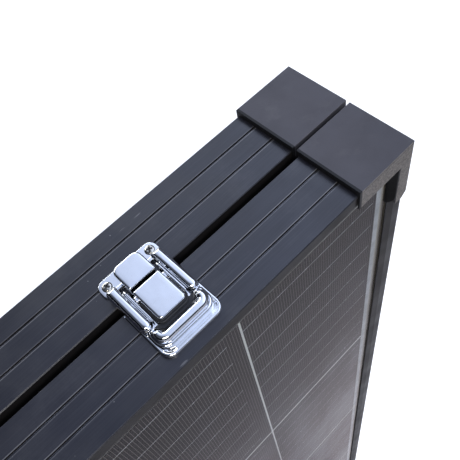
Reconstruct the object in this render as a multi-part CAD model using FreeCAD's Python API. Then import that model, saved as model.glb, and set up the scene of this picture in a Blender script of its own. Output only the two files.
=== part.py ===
import FreeCAD, Part
import math
import os

from FreeCAD import Vector

# Folding solar panel, shut like a suitcase: two framed panels, backs together, hinged along the
# bottom and latched along the top.  Millimetres.  X runs along the length, -Y is the front
# panel's glass side, +Z is up.  The origin is the middle of the base, under the rubber feet.

# Each framed panel
FRAME_LENGTH = 796.0
FRAME_HEIGHT = 702.2
FRAME_DEPTH = 32.0
PANEL_GAP = 4.0
FOOT_HEIGHT = 6.2
FOOT_RADIUS = 11.0
FRONT_FOOT_X = 347.0
REAR_FOOT_X = 319.0

# Frame extrusion
WALL = 1.6
LIP_FLAT = 5.8
LIP_WIDTH = 9.5
LIP_THICKNESS = 1.5
LIP_BEVEL = 1.0
SLOT_WIDTH = 5.0
SLOT_BOTTOM = 2.0
FLANGE_WIDTH = 24.0
GROOVE_DEPTHS = (10.3, 21.0)
GROOVE_HALF_WIDTH = 0.6
GROOVE_DEEP = 0.7
EDGE_BREAK = 0.4

# Laminate
GLASS_INSET = 2.6
GLASS_RECESS = 2.0
GLASS_THICKNESS = 3.2
CELL_THICKNESS = 0.2
BACKSHEET_THICKNESS = 0.5
CELL_WIDTH = 83.9
CELL_HEIGHT = 166.5
CELL_COLUMNS = 9
CELL_ROWS = 4
CELL_SIDE_MARGIN = 15.8
CELL_END_MARGIN = 14.8
RIBBON_WIDTH = 3.1

# Corner caps
CAP_TOP = 3.1
CAP_END = 1.5
CAP_FACE = 1.0
CAP_REACH = 33.0
CAP_ARM_DROP = 8.5
CAP_LEG_DROP = 32.0
CAP_TIP_DROP = 35.0
CAP_TAB_DROP = 31.0

# Fits
RUNNING_GAP = 0.05
SCREW_GAP = 0.05

# Panel hinges
HINGE_DROP = 3.3
HINGE_X = (-270.0, 0.0, 270.0)
HINGE_LENGTH = 70.0
LEAF_THICKNESS = 2.0
LEAF_WIDTH = 24.0
KNUCKLE_RADIUS = 2.4
PIN_RADIUS = 1.2
KNUCKLES = 5
HINGE_SCREW_REACH = 25.0

# Latches
LATCH_X = FRAME_LENGTH / 2 - 116.5
LATCH_WIDTH = 27.6
LATCH_LIFT = 6.4
LEVER_ARM = 8.0

# Carry handle
HANDLE_SPAN = 112.0
HANDLE_REACH = 30.0
HANDLE_PIVOT_LIFT = 11.0
HANDLE_ARM_WIDTH = 8.0
HANDLE_ARM_HALF = 5.5
HANDLE_STUB_RADIUS = 3.0
HANDLE_CORE_RADIUS = 4.5
GRIP_RADIUS = 9.0

# Support legs
LEG_LENGTH = 560.0
LEG_DEPTH = 14.0
LEG_WIDTH = 20.0
LEG_PIVOT_X = 250.0

# Places that follow from the sizes above
HALF_LENGTH = FRAME_LENGTH / 2
BOTTOM_Z = FOOT_HEIGHT
TOP_Z = BOTTOM_Z + FRAME_HEIGHT
MIDDLE_Z = (BOTTOM_Z + TOP_Z) / 2
FRONT_Y = -(PANEL_GAP / 2 + FRAME_DEPTH)
BACK_Y = -PANEL_GAP / 2
RAIL_MIDDLE_Y = (FRONT_Y + BACK_Y) / 2
HINGE_Z = BOTTOM_Z - HINGE_DROP
GLASS_BACK_Y = FRONT_Y + GLASS_RECESS + GLASS_THICKNESS
LAMINATE_BACK_Y = GLASS_BACK_Y + CELL_THICKNESS + BACKSHEET_THICKNESS
FLANGE_INNER_Y = BACK_Y - WALL


# ---------------------------------------------------------------- helpers

def box(x0, x1, y0, y1, z0, z1):
    """Box between two corners, given in any order."""
    low = Vector(min(x0, x1), min(y0, y1), min(z0, z1))
    return Part.makeBox(abs(x1 - x0), abs(y1 - y0), abs(z1 - z0), low)


def rod(start, direction, length, radius):
    """Cylinder from a point along a direction."""
    return Part.makeCylinder(radius, length, Vector(*start), Vector(*direction))


def cone(start, direction, length, radius0, radius1):
    return Part.makeCone(radius0, radius1, length, Vector(*start), Vector(*direction))


def prism(points, sweep):
    """Closed outline through 3-D points, swept along a vector."""
    corners = [Vector(*p) for p in points]
    wire = Part.makePolygon(corners + [corners[0]])
    return Part.Face(wire).extrude(Vector(*sweep))


def side_prism(points, x0, x1):
    """Outline of (y, z) points swept along X."""
    return prism([(x0, y, z) for y, z in points], (x1 - x0, 0, 0))


def front_prism(points, y0, y1):
    """Outline of (x, z) points swept along Y."""
    return prism([(x, y0, z) for x, z in points], (0, y1 - y0, 0))


def join(shapes):
    whole = shapes[0]
    for shape in shapes[1:]:
        whole = whole.fuse(shape)
    return whole.removeSplitter()


def without(shape, cutters):
    for cutter in cutters:
        shape = shape.cut(cutter)
    return shape


def flip_x(shape):
    return shape.mirror(Vector(0, 0, 0), Vector(1, 0, 0))


def flip_z(shape):
    return shape.mirror(Vector(0, 0, MIDDLE_Z), Vector(0, 0, 1))


def to_rear(shape):
    """The rear panel is the front one mirrored across the plane between the two."""
    return shape.mirror(Vector(0, 0, 0), Vector(0, 1, 0))


def group(shapes):
    return Part.makeCompound(shapes)


# ---------------------------------------------------------------- frame

def rail_outline():
    """Extrusion outline as (inward from the outer face, back from the lip face)."""
    points = [(EDGE_BREAK, 0.0), (LIP_FLAT, 0.0), (LIP_WIDTH, LIP_BEVEL), (LIP_WIDTH, LIP_THICKNESS)]
    slot_back = LIP_THICKNESS + SLOT_WIDTH
    points += [(SLOT_BOTTOM, LIP_THICKNESS), (SLOT_BOTTOM, slot_back), (LIP_WIDTH, slot_back)]
    points += [(LIP_WIDTH, FRAME_DEPTH - WALL), (FLANGE_WIDTH, FRAME_DEPTH - WALL)]
    points += [(FLANGE_WIDTH, FRAME_DEPTH), (EDGE_BREAK, FRAME_DEPTH), (0.0, FRAME_DEPTH - EDGE_BREAK)]
    for depth in reversed(GROOVE_DEPTHS):
        points += [(0.0, depth + GROOVE_HALF_WIDTH), (GROOVE_DEEP, depth + GROOVE_HALF_WIDTH / 2)]
        points += [(GROOVE_DEEP, depth - GROOVE_HALF_WIDTH / 2), (0.0, depth - GROOVE_HALF_WIDTH)]
    points.append((0.0, EDGE_BREAK))
    return points


def chamber_outline():
    slot_back = LIP_THICKNESS + SLOT_WIDTH
    near = slot_back + WALL
    far = FRAME_DEPTH - WALL
    return [(WALL, near), (LIP_WIDTH - WALL, near), (LIP_WIDTH - WALL, far), (WALL, far)]


def top_rail():
    """Mitred rail along the top edge."""
    def place(outline):
        return [(-HALF_LENGTH, FRONT_Y + back, TOP_Z - inward) for inward, back in outline]
    bar = prism(place(rail_outline()), (FRAME_LENGTH, 0, 0))
    bar = bar.cut(prism(place(chamber_outline()), (FRAME_LENGTH, 0, 0)))
    deep = FLANGE_WIDTH + 6.0
    mitre = [(-HALF_LENGTH, TOP_Z), (HALF_LENGTH, TOP_Z)]
    mitre += [(HALF_LENGTH - deep, TOP_Z - deep), (-HALF_LENGTH + deep, TOP_Z - deep)]
    return bar.common(front_prism(mitre, FRONT_Y - 1, BACK_Y + 1))


def right_rail():
    """Mitred rail up the right-hand end."""
    def place(outline):
        return [(HALF_LENGTH - inward, FRONT_Y + back, BOTTOM_Z) for inward, back in outline]
    bar = prism(place(rail_outline()), (0, 0, FRAME_HEIGHT))
    bar = bar.cut(prism(place(chamber_outline()), (0, 0, FRAME_HEIGHT)))
    deep = FLANGE_WIDTH + 6.0
    mitre = [(HALF_LENGTH, BOTTOM_Z), (HALF_LENGTH, TOP_Z)]
    mitre += [(HALF_LENGTH - deep, TOP_Z - deep), (HALF_LENGTH - deep, BOTTOM_Z + deep)]
    return bar.common(front_prism(mitre, FRONT_Y - 1, BACK_Y + 1))


def four_corners(shape):
    """The same piece at the top right, top left, bottom right and bottom left corners."""
    left = flip_x(shape)
    return group([shape, left, flip_z(shape), flip_z(left)])


def corner_keys():
    """L-shaped keys pressed inside the rails' chambers."""
    clear = 0.15
    outer = WALL + clear
    inner = LIP_WIDTH - WALL - clear
    leg = 46.0
    shape = [(outer, outer), (outer, leg), (inner, leg), (inner, inner), (leg, inner), (leg, outer)]
    points = [(HALF_LENGTH - a, TOP_Z - b) for a, b in shape]
    y0 = FRONT_Y + LIP_THICKNESS + SLOT_WIDTH + WALL + clear
    return four_corners(front_prism(points, y0, BACK_Y - WALL - clear))


def corner_cap():
    """Moulded cap over the top right corner: L-shaped on the face, with a bevelled foot."""
    outer_x = HALF_LENGTH + CAP_END
    arm_z = TOP_Z - CAP_ARM_DROP
    leg_x = HALF_LENGTH - LIP_FLAT
    outline = [(outer_x, TOP_Z + CAP_TOP), (HALF_LENGTH - CAP_REACH, TOP_Z + CAP_TOP)]
    outline += [(HALF_LENGTH - CAP_REACH, arm_z), (leg_x, arm_z), (leg_x, TOP_Z - CAP_TIP_DROP)]
    outline += [(HALF_LENGTH - 1.5, TOP_Z - CAP_TIP_DROP), (outer_x, TOP_Z - CAP_LEG_DROP)]
    y0 = FRONT_Y - CAP_FACE
    y1 = BACK_Y + CAP_FACE
    shell = front_prism(outline, y0, y1)
    shell = shell.cut(box(0, HALF_LENGTH, FRONT_Y, BACK_Y, 0, TOP_Z))
    tab_inner = LIP_WIDTH + 1.3
    tab = [(LIP_FLAT, -CAP_FACE), (tab_inner, LIP_BEVEL + 0.4), (tab_inner, GLASS_RECESS - 0.05)]
    tab += [(LIP_WIDTH + 0.02, GLASS_RECESS - 0.05), (LIP_WIDTH + 0.02, LIP_BEVEL), (LIP_FLAT, 0.0)]
    low_z = TOP_Z - CAP_TAB_DROP
    corners = [(HALF_LENGTH - a, FRONT_Y + b, low_z) for a, b in tab]
    return join([shell, prism(corners, (0, 0, CAP_TAB_DROP - LIP_WIDTH - 0.02))])


def foot(x):
    """Round rubber foot on the underside of the bottom rail."""
    return rod((x, RAIL_MIDDLE_Y, 0), (0, 0, 1), FOOT_HEIGHT, FOOT_RADIUS)


# ---------------------------------------------------------------- laminate

def sheet(inset, y0, y1):
    return box(-HALF_LENGTH + inset, HALF_LENGTH - inset, y0, y1, BOTTOM_Z + inset, TOP_Z - inset)


def edge_seal():
    """Rubber channel around the laminate's edge, inside the frame's slot."""
    y0 = FRONT_Y + LIP_THICKNESS
    y1 = y0 + SLOT_WIDTH
    ring = sheet(SLOT_BOTTOM, y0, y1)
    ring = ring.cut(sheet(LIP_WIDTH - 0.2, y0 - 1, y1 + 1))
    return ring.cut(sheet(GLASS_INSET, FRONT_Y + GLASS_RECESS, LAMINATE_BACK_Y))


def cell_columns():
    """Left edges of the cell columns, from left to right."""
    field = FRAME_LENGTH - 2 * CELL_SIDE_MARGIN
    pitch = (field - CELL_WIDTH) / (CELL_COLUMNS - 1)
    return [-field / 2 + i * pitch for i in range(CELL_COLUMNS)]


def cell_rows():
    """Bottom edges of the cell rows, from bottom to top."""
    field = FRAME_HEIGHT - 2 * CELL_END_MARGIN
    pitch = (field - CELL_HEIGHT) / (CELL_ROWS - 1)
    return [BOTTOM_Z + CELL_END_MARGIN + i * pitch for i in range(CELL_ROWS)]


def cells():
    y1 = GLASS_BACK_Y + CELL_THICKNESS
    wafers = []
    for x in cell_columns():
        for z in cell_rows():
            wafers.append(box(x, x + CELL_WIDTH, GLASS_BACK_Y, y1, z, z + CELL_HEIGHT))
    return group(wafers)


def bus_ribbons():
    """Tinned ribbons that join the rows end to end, so that both string ends are on the left."""
    rows = cell_rows()
    inner = HALF_LENGTH - CELL_SIDE_MARGIN + 0.1
    outer = inner + RIBBON_WIDTH
    spans = [(inner, outer, rows[2], rows[3]), (inner, outer, rows[0], rows[1])]
    spans += [(-outer, -inner, rows[3], rows[3]), (-outer, -inner, rows[1], rows[2])]
    spans.append((-outer, -inner, rows[0], rows[0]))
    y1 = GLASS_BACK_Y + CELL_THICKNESS
    ribbons = []
    for x0, x1, low, high in spans:
        ribbons.append(box(x0, x1, GLASS_BACK_Y, y1, low + 2.0, high + CELL_HEIGHT - 2.0))
    return group(ribbons)


# ---------------------------------------------------------------- panel hinges

def hinge_screw_places():
    return [(x + side * HINGE_SCREW_REACH, RAIL_MIDDLE_Y) for x in HINGE_X for side in (-1, 1)]


def countersunk_screw(x, y, grow=0.0):
    """Screw up into the bottom rail, its head flush with the leaf; grow makes its hole."""
    leaf_z = BOTTOM_Z - LEAF_THICKNESS
    head = cone((x, y, leaf_z - grow), (0, 0, 1), 1.5 + 3 * grow, 3.0 + 2 * grow, 1.5 - grow)
    shank = rod((x, y, leaf_z), (0, 0, 1), 8.0, 1.45 + grow)
    screw = join([head, shank])
    if grow:
        return screw
    slot = 0.7
    return screw.cut(box(x - 2.2, x + 2.2, y - slot / 2, y + slot / 2, leaf_z - 1, leaf_z + slot))


def knuckle(x, index, side):
    """One knuckle and its web, on the leaf at the given side (-1 front, +1 rear)."""
    pitch = HINGE_LENGTH / KNUCKLES
    x0 = x - HINGE_LENGTH / 2 + index * pitch + 0.15
    length = pitch - 0.3
    barrel = rod((x0, 0, HINGE_Z), (1, 0, 0), length, KNUCKLE_RADIUS)
    web = box(x0, x0 + length, 0, side * (KNUCKLE_RADIUS + 0.6), HINGE_Z + 0.4, BOTTOM_Z - 1.0)
    return join([barrel, web])


def hinge_leaf(x, side):
    """Flat leaf with every second knuckle."""
    y_inner = side * (KNUCKLE_RADIUS + 0.2)
    y_outer = side * (KNUCKLE_RADIUS + LEAF_WIDTH)
    half = HINGE_LENGTH / 2
    plate = box(x - half, x + half, y_inner, y_outer, BOTTOM_Z - LEAF_THICKNESS, BOTTOM_Z)
    first = 0 if side < 0 else 1
    leaf = join([plate] + [knuckle(x, i, side) for i in range(first, KNUCKLES, 2)])
    bore = rod((x - half - 1, 0, HINGE_Z), (1, 0, 0), HINGE_LENGTH + 2, PIN_RADIUS + RUNNING_GAP)
    places = [x + s * HINGE_SCREW_REACH for s in (-1, 1)]
    holes = [countersunk_screw(place, -side * RAIL_MIDDLE_Y, SCREW_GAP) for place in places]
    return without(leaf, [bore] + holes)


def hinge_pin(x):
    return rod((x - HINGE_LENGTH / 2, 0, HINGE_Z), (1, 0, 0), HINGE_LENGTH, PIN_RADIUS)


# ---------------------------------------------------------------- latches
# Latch depths are counted back from the front lip, heights up from the rails' top face.

LEVER_PIVOT = (30.7, 3.2)
BAIL_PIVOT = (LEVER_PIVOT[0] - LEVER_ARM, 2.4)
CROSSBAR = (40.5, 42.0)
PAD_NEAR = 17.5
PAD_FAR = 32.2
PAD_HALF = 6.2
TONGUE_NEAR = 35.1
TONGUE_FAR = 46.5
EAR_BACK = 45.3
EAR_X = 11.0
RIVET_BACKS = (15.6, 26.5)


def latch_side(points, x0, x1):
    return side_prism([(FRONT_Y + back, TOP_Z + up) for back, up in points], x0, x1)


def latch_box(x0, x1, back0, back1, up0, up1):
    return box(x0, x1, FRONT_Y + back0, FRONT_Y + back1, TOP_Z + up0, TOP_Z + up1)


def latch_rod(pivot, x0, x1, radius):
    return rod((x0, FRONT_Y + pivot[0], TOP_Z + pivot[1]), (1, 0, 0), x1 - x0, radius)


def round_plate(half_x, back0, back1, up0, up1, radius):
    """Flat plate with rounded upright corners, centred on X."""
    plate = latch_box(-half_x, half_x, back0, back1, up0, up1)
    upright = [e for e in plate.Edges if abs(e.tangentAt(e.FirstParameter).z) > 0.9]
    return plate.makeFillet(radius, upright)


def rivet(x, back, grow=0.0):
    start = (x, FRONT_Y + back, TOP_Z - 3.0)
    shank = rod(start, (0, 0, 1), 4.2, 1.2 + grow)
    if grow:
        return shank
    return join([shank, cone((x, start[1], TOP_Z + 1.0), (0, 0, 1), 0.7, 2.1, 1.5)])


def latch_base():
    """Base plate under the lever, with a raised near rim and two ears for the lever's pin."""
    plate = round_plate(LATCH_WIDTH / 2 - 0.6, 5.6, 31.9, 0.0, 1.0, 1.5)
    rim = round_plate(LATCH_WIDTH / 2 - 0.6, 5.6, 9.0, 0.0, 2.2, 1.5)
    ears = []
    for side in (-1, 1):
        x0, x1 = sorted((side * 6.4, side * 7.4))
        post = latch_box(x0, x1, LEVER_PIVOT[0] - 1.2, LEVER_PIVOT[0] + 1.2, 0.5, LEVER_PIVOT[1])
        ears += [post, latch_rod(LEVER_PIVOT, x0, x1, 1.9)]
    base = join([plate, rim] + ears)
    bore = latch_rod(LEVER_PIVOT, -9, 9, 1.0 + RUNNING_GAP)
    return without(base, [bore] + [rivet(0, back, SCREW_GAP) for back in RIVET_BACKS])


def latch_lever():
    """Finger ridge and scoop at the near end, square pad and its two cheeks at the far end."""
    scoop = [(9.6, 2.4), (9.6, 4.6), (10.6, 5.8), (12.0, 5.9), (13.4, 5.0), (14.8, 3.6), (16.0, 3.2)]
    scoop += [(17.5, 3.2), (17.5, 2.2), (15.6, 2.2), (14.2, 2.7), (12.6, 4.1), (11.6, 4.9), (10.6, 4.0)]
    scoop += [(10.5, 2.4)]
    parts = [latch_side(scoop, -12.8, 12.8)]
    parts.append(latch_box(-PAD_HALF, PAD_HALF, PAD_NEAR, PAD_FAR, LATCH_LIFT - 1.2, LATCH_LIFT))
    parts.append(latch_box(-PAD_HALF, PAD_HALF, PAD_NEAR - 0.2, PAD_NEAR + 1.0, 2.2, LATCH_LIFT))
    for side in (-1, 1):
        x0, x1 = sorted((side * 5.0, side * PAD_HALF))
        parts.append(latch_box(x0, x1, BAIL_PIVOT[0] - 1.6, LEVER_PIVOT[0], 1.4, LATCH_LIFT - 1))
        parts.append(latch_box(x0, x1, LEVER_PIVOT[0] - 1, PAD_FAR, LEVER_PIVOT[1], LATCH_LIFT - 1))
        parts.append(latch_rod(LEVER_PIVOT, x0, x1, 1.35))
    lever = join(parts)
    near_hinge = latch_box(-9, 9, LEVER_PIVOT[0] - 1.35, PAD_FAR, 0, LEVER_PIVOT[1])
    rounded = latch_rod(LEVER_PIVOT, -9, 9, 1.35)
    lever = lever.cut(near_hinge.cut(rounded))
    bores = [latch_rod(LEVER_PIVOT, -9, 9, 1.0 + RUNNING_GAP)]
    bores.append(latch_rod(BAIL_PIVOT, -9, 9, 0.9 + RUNNING_GAP))
    return without(lever, bores)


def latch_bail():
    """Two raised side arms, their stub pins, and the crossbar that hooks under the tongue."""
    half = LATCH_WIDTH / 2
    arm = [(18.2, 1.7), (18.2, 3.0), (19.4, 4.6), (21.0, 5.5), (39.0, 5.5), (41.2, 4.4), (42.0, 2.6)]
    arm += [(42.0, 1.7)]
    parts = []
    for side in (-1, 1):
        x0, x1 = sorted((side * 7.8, side * half))
        block = latch_side(arm, x0, x1)
        long_edges = [e for e in block.Edges if e.Length > 15 and e.CenterOfMass.z > TOP_Z + 4]
        parts.append(block.makeFillet(2.2, long_edges))
        x0, x1 = sorted((side * 5.2, side * 9.0))
        parts.append(latch_rod(BAIL_PIVOT, x0, x1, 0.9))
    parts.append(latch_box(-9.5, 9.5, CROSSBAR[0], CROSSBAR[1], 1.3, 2.1))
    bail = join(parts)
    corners = []
    for side in (-1, 1):
        corner = latch_box(side * (half - 4.0), side * (half + 1), 38.0, 43.0, 0, 7)
        pillar = rod((side * (half - 4.0), FRONT_Y + 38.0, TOP_Z), (0, 0, 1), 7, 4.0)
        corners.append(corner.cut(pillar))
    return without(bail, corners)


def latch_keeper():
    """Screwed plate with the raised tongue; the tongue is open on its far side."""
    plate = round_plate(EAR_X + 3.4, 42.3, 48.9, 0.0, 1.0, 3.2)
    neck = latch_box(-PAD_HALF, PAD_HALF, TONGUE_NEAR, 43.0, 0.0, 1.0)
    wall = latch_box(-PAD_HALF, PAD_HALF, TONGUE_NEAR, TONGUE_NEAR + 1.2, 0.0, LATCH_LIFT)
    tongue = latch_box(-PAD_HALF, PAD_HALF, TONGUE_NEAR, TONGUE_FAR, LATCH_LIFT - 1.15, LATCH_LIFT)
    catch = latch_box(-PAD_HALF, PAD_HALF, CROSSBAR[0] - 1.6, CROSSBAR[0] - 0.1, 0.5, LATCH_LIFT - 0.5)
    keeper = join([plate, neck, wall, tongue, catch])
    return without(keeper, [keeper_screw(side * EAR_X, SCREW_GAP) for side in (-1, 1)])


def keeper_screw(x, grow=0.0):
    y = FRONT_Y + EAR_BACK
    shank = rod((x, y, TOP_Z - 7.0), (0, 0, 1), 8.2, 1.45 + grow)
    if grow:
        return shank
    head = cone((x, y, TOP_Z + 1.0), (0, 0, 1), 0.7, 2.6, 1.9)
    screw = join([shank, head])
    slot = 0.3
    top = TOP_Z + 1.4
    cross = [box(x - 1.3, x + 1.3, y - slot, y + slot, top, top + 1)]
    cross.append(box(x - slot, x + slot, y - 1.3, y + 1.3, top, top + 1))
    return without(screw, cross)


def at_latches(shape):
    """A latch piece made at X = 0, set at the left and at the right latch."""
    pair = []
    for x in (-LATCH_X, LATCH_X):
        copy = shape.copy()
        copy.translate(Vector(x, 0, 0))
        pair.append(copy)
    return pair


# ---------------------------------------------------------------- carry handle

HANDLE_Z = TOP_Z + HANDLE_PIVOT_LIFT
HANDLE_SCREW_X = 10.0


def handle_screw(x, grow=0.0):
    y = RAIL_MIDDLE_Y
    shank = rod((x, y, TOP_Z - 6.0), (0, 0, 1), 9.2, 1.9 + grow)
    if grow:
        return shank
    return join([shank, cone((x, y, TOP_Z + 3.0), (0, 0, 1), 2.0, 3.6, 2.8)])


def handle_screw_places():
    middle = HANDLE_SPAN / 2 + 3.5
    return [side * (middle + offset) for side in (-1, 1) for offset in (-HANDLE_SCREW_X, HANDLE_SCREW_X)]


def handle_bracket():
    """Right-hand bracket: a screwed foot and an upright ear with the pivot bore."""
    x0 = HANDLE_SPAN / 2 + 0.5
    middle = x0 + 3.0
    y0 = RAIL_MIDDLE_Y
    plate = box(middle - 15, middle + 15, y0 - 9, y0 + 9, TOP_Z, TOP_Z + 3.0)
    upright = [e for e in plate.Edges if abs(e.tangentAt(e.FirstParameter).z) > 0.9]
    plate = plate.makeFillet(4.0, upright)
    post = box(x0, x0 + 6.0, y0 - 7.5, y0 + 7.5, TOP_Z + 2.0, HANDLE_Z)
    head = rod((x0, y0, HANDLE_Z), (1, 0, 0), 6.0, 7.5)
    bore = rod((x0 - 1, y0, HANDLE_Z), (1, 0, 0), 8.0, HANDLE_STUB_RADIUS + RUNNING_GAP)
    holes = [handle_screw(x, SCREW_GAP) for x in handle_screw_places() if x > 0]
    return without(join([plate, post, head]), [bore] + holes)


def handle_bow():
    """Bow lying back over the rear rail: two arms with stub pins and a core for the grip."""
    y0 = RAIL_MIDDLE_Y
    y1 = y0 + HANDLE_REACH
    parts = []
    for side in (-1, 1):
        start = HANDLE_SPAN / 2 - HANDLE_ARM_WIDTH
        x0, x1 = sorted((side * start, side * (start + HANDLE_ARM_WIDTH)))
        parts.append(box(x0, x1, y0, y1, HANDLE_Z - HANDLE_ARM_HALF, HANDLE_Z + HANDLE_ARM_HALF))
        parts.append(rod((x0, y0, HANDLE_Z), (1, 0, 0), HANDLE_ARM_WIDTH, HANDLE_ARM_HALF))
        parts.append(rod((x0, y1, HANDLE_Z), (1, 0, 0), HANDLE_ARM_WIDTH, HANDLE_ARM_HALF))
        x0, x1 = sorted((side * (start + 4.0), side * (start + 14.0)))
        parts.append(rod((x0, y0, HANDLE_Z), (1, 0, 0), 10.0, HANDLE_STUB_RADIUS))
    core = HANDLE_SPAN - HANDLE_ARM_WIDTH
    parts.append(rod((-core / 2, y1, HANDLE_Z), (1, 0, 0), core, HANDLE_CORE_RADIUS))
    return join(parts)


def handle_grip():
    y1 = RAIL_MIDDLE_Y + HANDLE_REACH
    length = HANDLE_SPAN - 17.0
    start = (-length / 2, y1, HANDLE_Z)
    bore = rod(start, (1, 0, 0), length, HANDLE_CORE_RADIUS + RUNNING_GAP)
    return rod(start, (1, 0, 0), length, GRIP_RADIUS).cut(bore)


# ---------------------------------------------------------------- support legs

LEG_Y = -13.5
LEG_TOP_Z = TOP_Z - FLANGE_WIDTH - 4.2
LEG_Z = LEG_TOP_Z - LEG_WIDTH / 2
EAR_GAP = 0.3
EAR_THICKNESS = 1.5
BOLT_RADIUS = 3.0
KNOB_HEIGHT = 13.0
KNOB_RADIUS = 8.0
KNOB_LOBES = 6
KNOB_LOBE_REACH = 7.0
KNOB_LOBE_RADIUS = 2.6
LEG_RIVET_SPREAD = 10.0
LEG_RIVET_Z = TOP_Z - 17.0


def leg_rivet(x, grow=0.0):
    start = (x, FLANGE_INNER_Y - EAR_THICKNESS - 0.8, LEG_RIVET_Z)
    shank = rod(start, (0, 1, 0), WALL + EAR_THICKNESS + 1.6, 1.9 + grow)
    if grow:
        return shank
    return join([shank, rod((x, BACK_Y, LEG_RIVET_Z), (0, 1, 0), 0.8, 3.2)])


def leg_bracket():
    """Folded bracket riveted to the top rail's flange, with two ears around the leg."""
    x0 = LEG_PIVOT_X - 15.0
    x1 = LEG_PIVOT_X + 15.0
    web_y = LEG_Y - 11.0
    upper = LEG_TOP_Z + EAR_GAP
    lower = LEG_TOP_Z - LEG_WIDTH - EAR_GAP
    tab_y = FLANGE_INNER_Y - EAR_THICKNESS
    parts = [box(x0, x1, web_y - EAR_THICKNESS, web_y, lower - EAR_THICKNESS, upper + EAR_THICKNESS)]
    parts.append(box(x0, x1, web_y - EAR_THICKNESS, FLANGE_INNER_Y, upper, upper + EAR_THICKNESS))
    parts.append(box(x0, x1, web_y - EAR_THICKNESS, LEG_Y + 8, lower - EAR_THICKNESS, lower))
    parts.append(box(x0, x1, tab_y, FLANGE_INNER_Y, upper, LEG_RIVET_Z + 6.0))
    parts.append(rod((LEG_PIVOT_X, LEG_Y, upper), (0, 0, 1), 4.5, 5.5))
    parts += [leg_rivet(LEG_PIVOT_X + s * LEG_RIVET_SPREAD) for s in (-1, 1)]
    bore = rod((LEG_PIVOT_X, LEG_Y, lower - 5), (0, 0, 1), 50, BOLT_RADIUS + RUNNING_GAP)
    return join(parts).cut(bore)


def leg():
    """Rectangular tube, rounded at its pivot and open at the foot."""
    low = LEG_TOP_Z - LEG_WIDTH
    x0 = LEG_PIVOT_X - LEG_LENGTH
    half = LEG_DEPTH / 2
    wall = 1.5
    outer = join([box(x0, LEG_PIVOT_X, LEG_Y - half, LEG_Y + half, low, LEG_TOP_Z),
                  rod((LEG_PIVOT_X, LEG_Y, low), (0, 0, 1), LEG_WIDTH, half)])
    inside = box(x0 - 1, LEG_PIVOT_X - 12, LEG_Y - half + wall, LEG_Y + half - wall,
                 low + wall, LEG_TOP_Z - wall)
    bore = rod((LEG_PIVOT_X, LEG_Y, low - 1), (0, 0, 1), LEG_WIDTH + 2, BOLT_RADIUS + RUNNING_GAP)
    return without(outer, [inside, bore])


def leg_foot():
    """Rubber shoe plugged into the open end of the leg."""
    x0 = LEG_PIVOT_X - LEG_LENGTH
    half = LEG_DEPTH / 2
    shoe = box(x0 - 9, x0 - 0.05, LEG_Y - half - 1.2, LEG_Y + half + 1.2,
               LEG_Z - LEG_WIDTH / 2 - 1.2, LEG_Z + LEG_WIDTH / 2 + 1.2)
    shoe = shoe.makeFillet(2.0, [e for e in shoe.Edges if e.CenterOfMass.x < x0 - 1])
    plug = box(x0 - 5, x0 + 18, LEG_Y - half + 1.6, LEG_Y + half - 1.6,
               LEG_Z - LEG_WIDTH / 2 + 1.6, LEG_Z + LEG_WIDTH / 2 - 1.6)
    return join([shoe, plug])


def leg_knob():
    """Clamping knob with six lobes on a bolt through the bracket and the leg."""
    lower = LEG_TOP_Z - LEG_WIDTH - EAR_GAP - EAR_THICKNESS
    head_top = lower - 0.3
    base_z = head_top - KNOB_HEIGHT
    body = rod((LEG_PIVOT_X, LEG_Y, base_z), (0, 0, 1), KNOB_HEIGHT, KNOB_RADIUS)
    lobes = []
    for i in range(KNOB_LOBES):
        angle = math.radians(360 / KNOB_LOBES * i)
        x = LEG_PIVOT_X + KNOB_LOBE_REACH * math.cos(angle)
        y = LEG_Y + KNOB_LOBE_REACH * math.sin(angle)
        lobes.append(rod((x, y, base_z), (0, 0, 1), KNOB_HEIGHT - 2.0, KNOB_LOBE_RADIUS))
    bolt = rod((LEG_PIVOT_X, LEG_Y, head_top - 1), (0, 0, 1), LEG_TOP_Z + 6.8 - head_top, BOLT_RADIUS)
    return join([body] + lobes + [bolt])


# ---------------------------------------------------------------- electrics

CONTROLLER_X = (-371.0, -281.0)
CONTROLLER_Z = (278.0, 428.0)
CONTROLLER_FACE_Y = -5.0
CONTROLLER_EAR_Z = (300.0, 406.0)
BUTTON_X = -326.0
BUTTON_Z = 312.0
SCREEN = (-356.0, -296.0, 360.0, 402.0)
BOX_X = (-216.0, -116.0)
BOX_Z = (MIDDLE_Z - 37.0, MIDDLE_Z + 37.0)
LEAD_RADIUS = 3.0


def controller_screw(z, grow=0.0):
    x = CONTROLLER_X[0] - 8.0
    shank = rod((x, FLANGE_INNER_Y - 3.5, z), (0, 1, 0), WALL + 3.7, 1.45 + grow)
    if grow:
        return shank
    return join([shank, cone((x, BACK_Y, z), (0, 1, 0), 0.9, 2.6, 2.0)])


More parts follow.
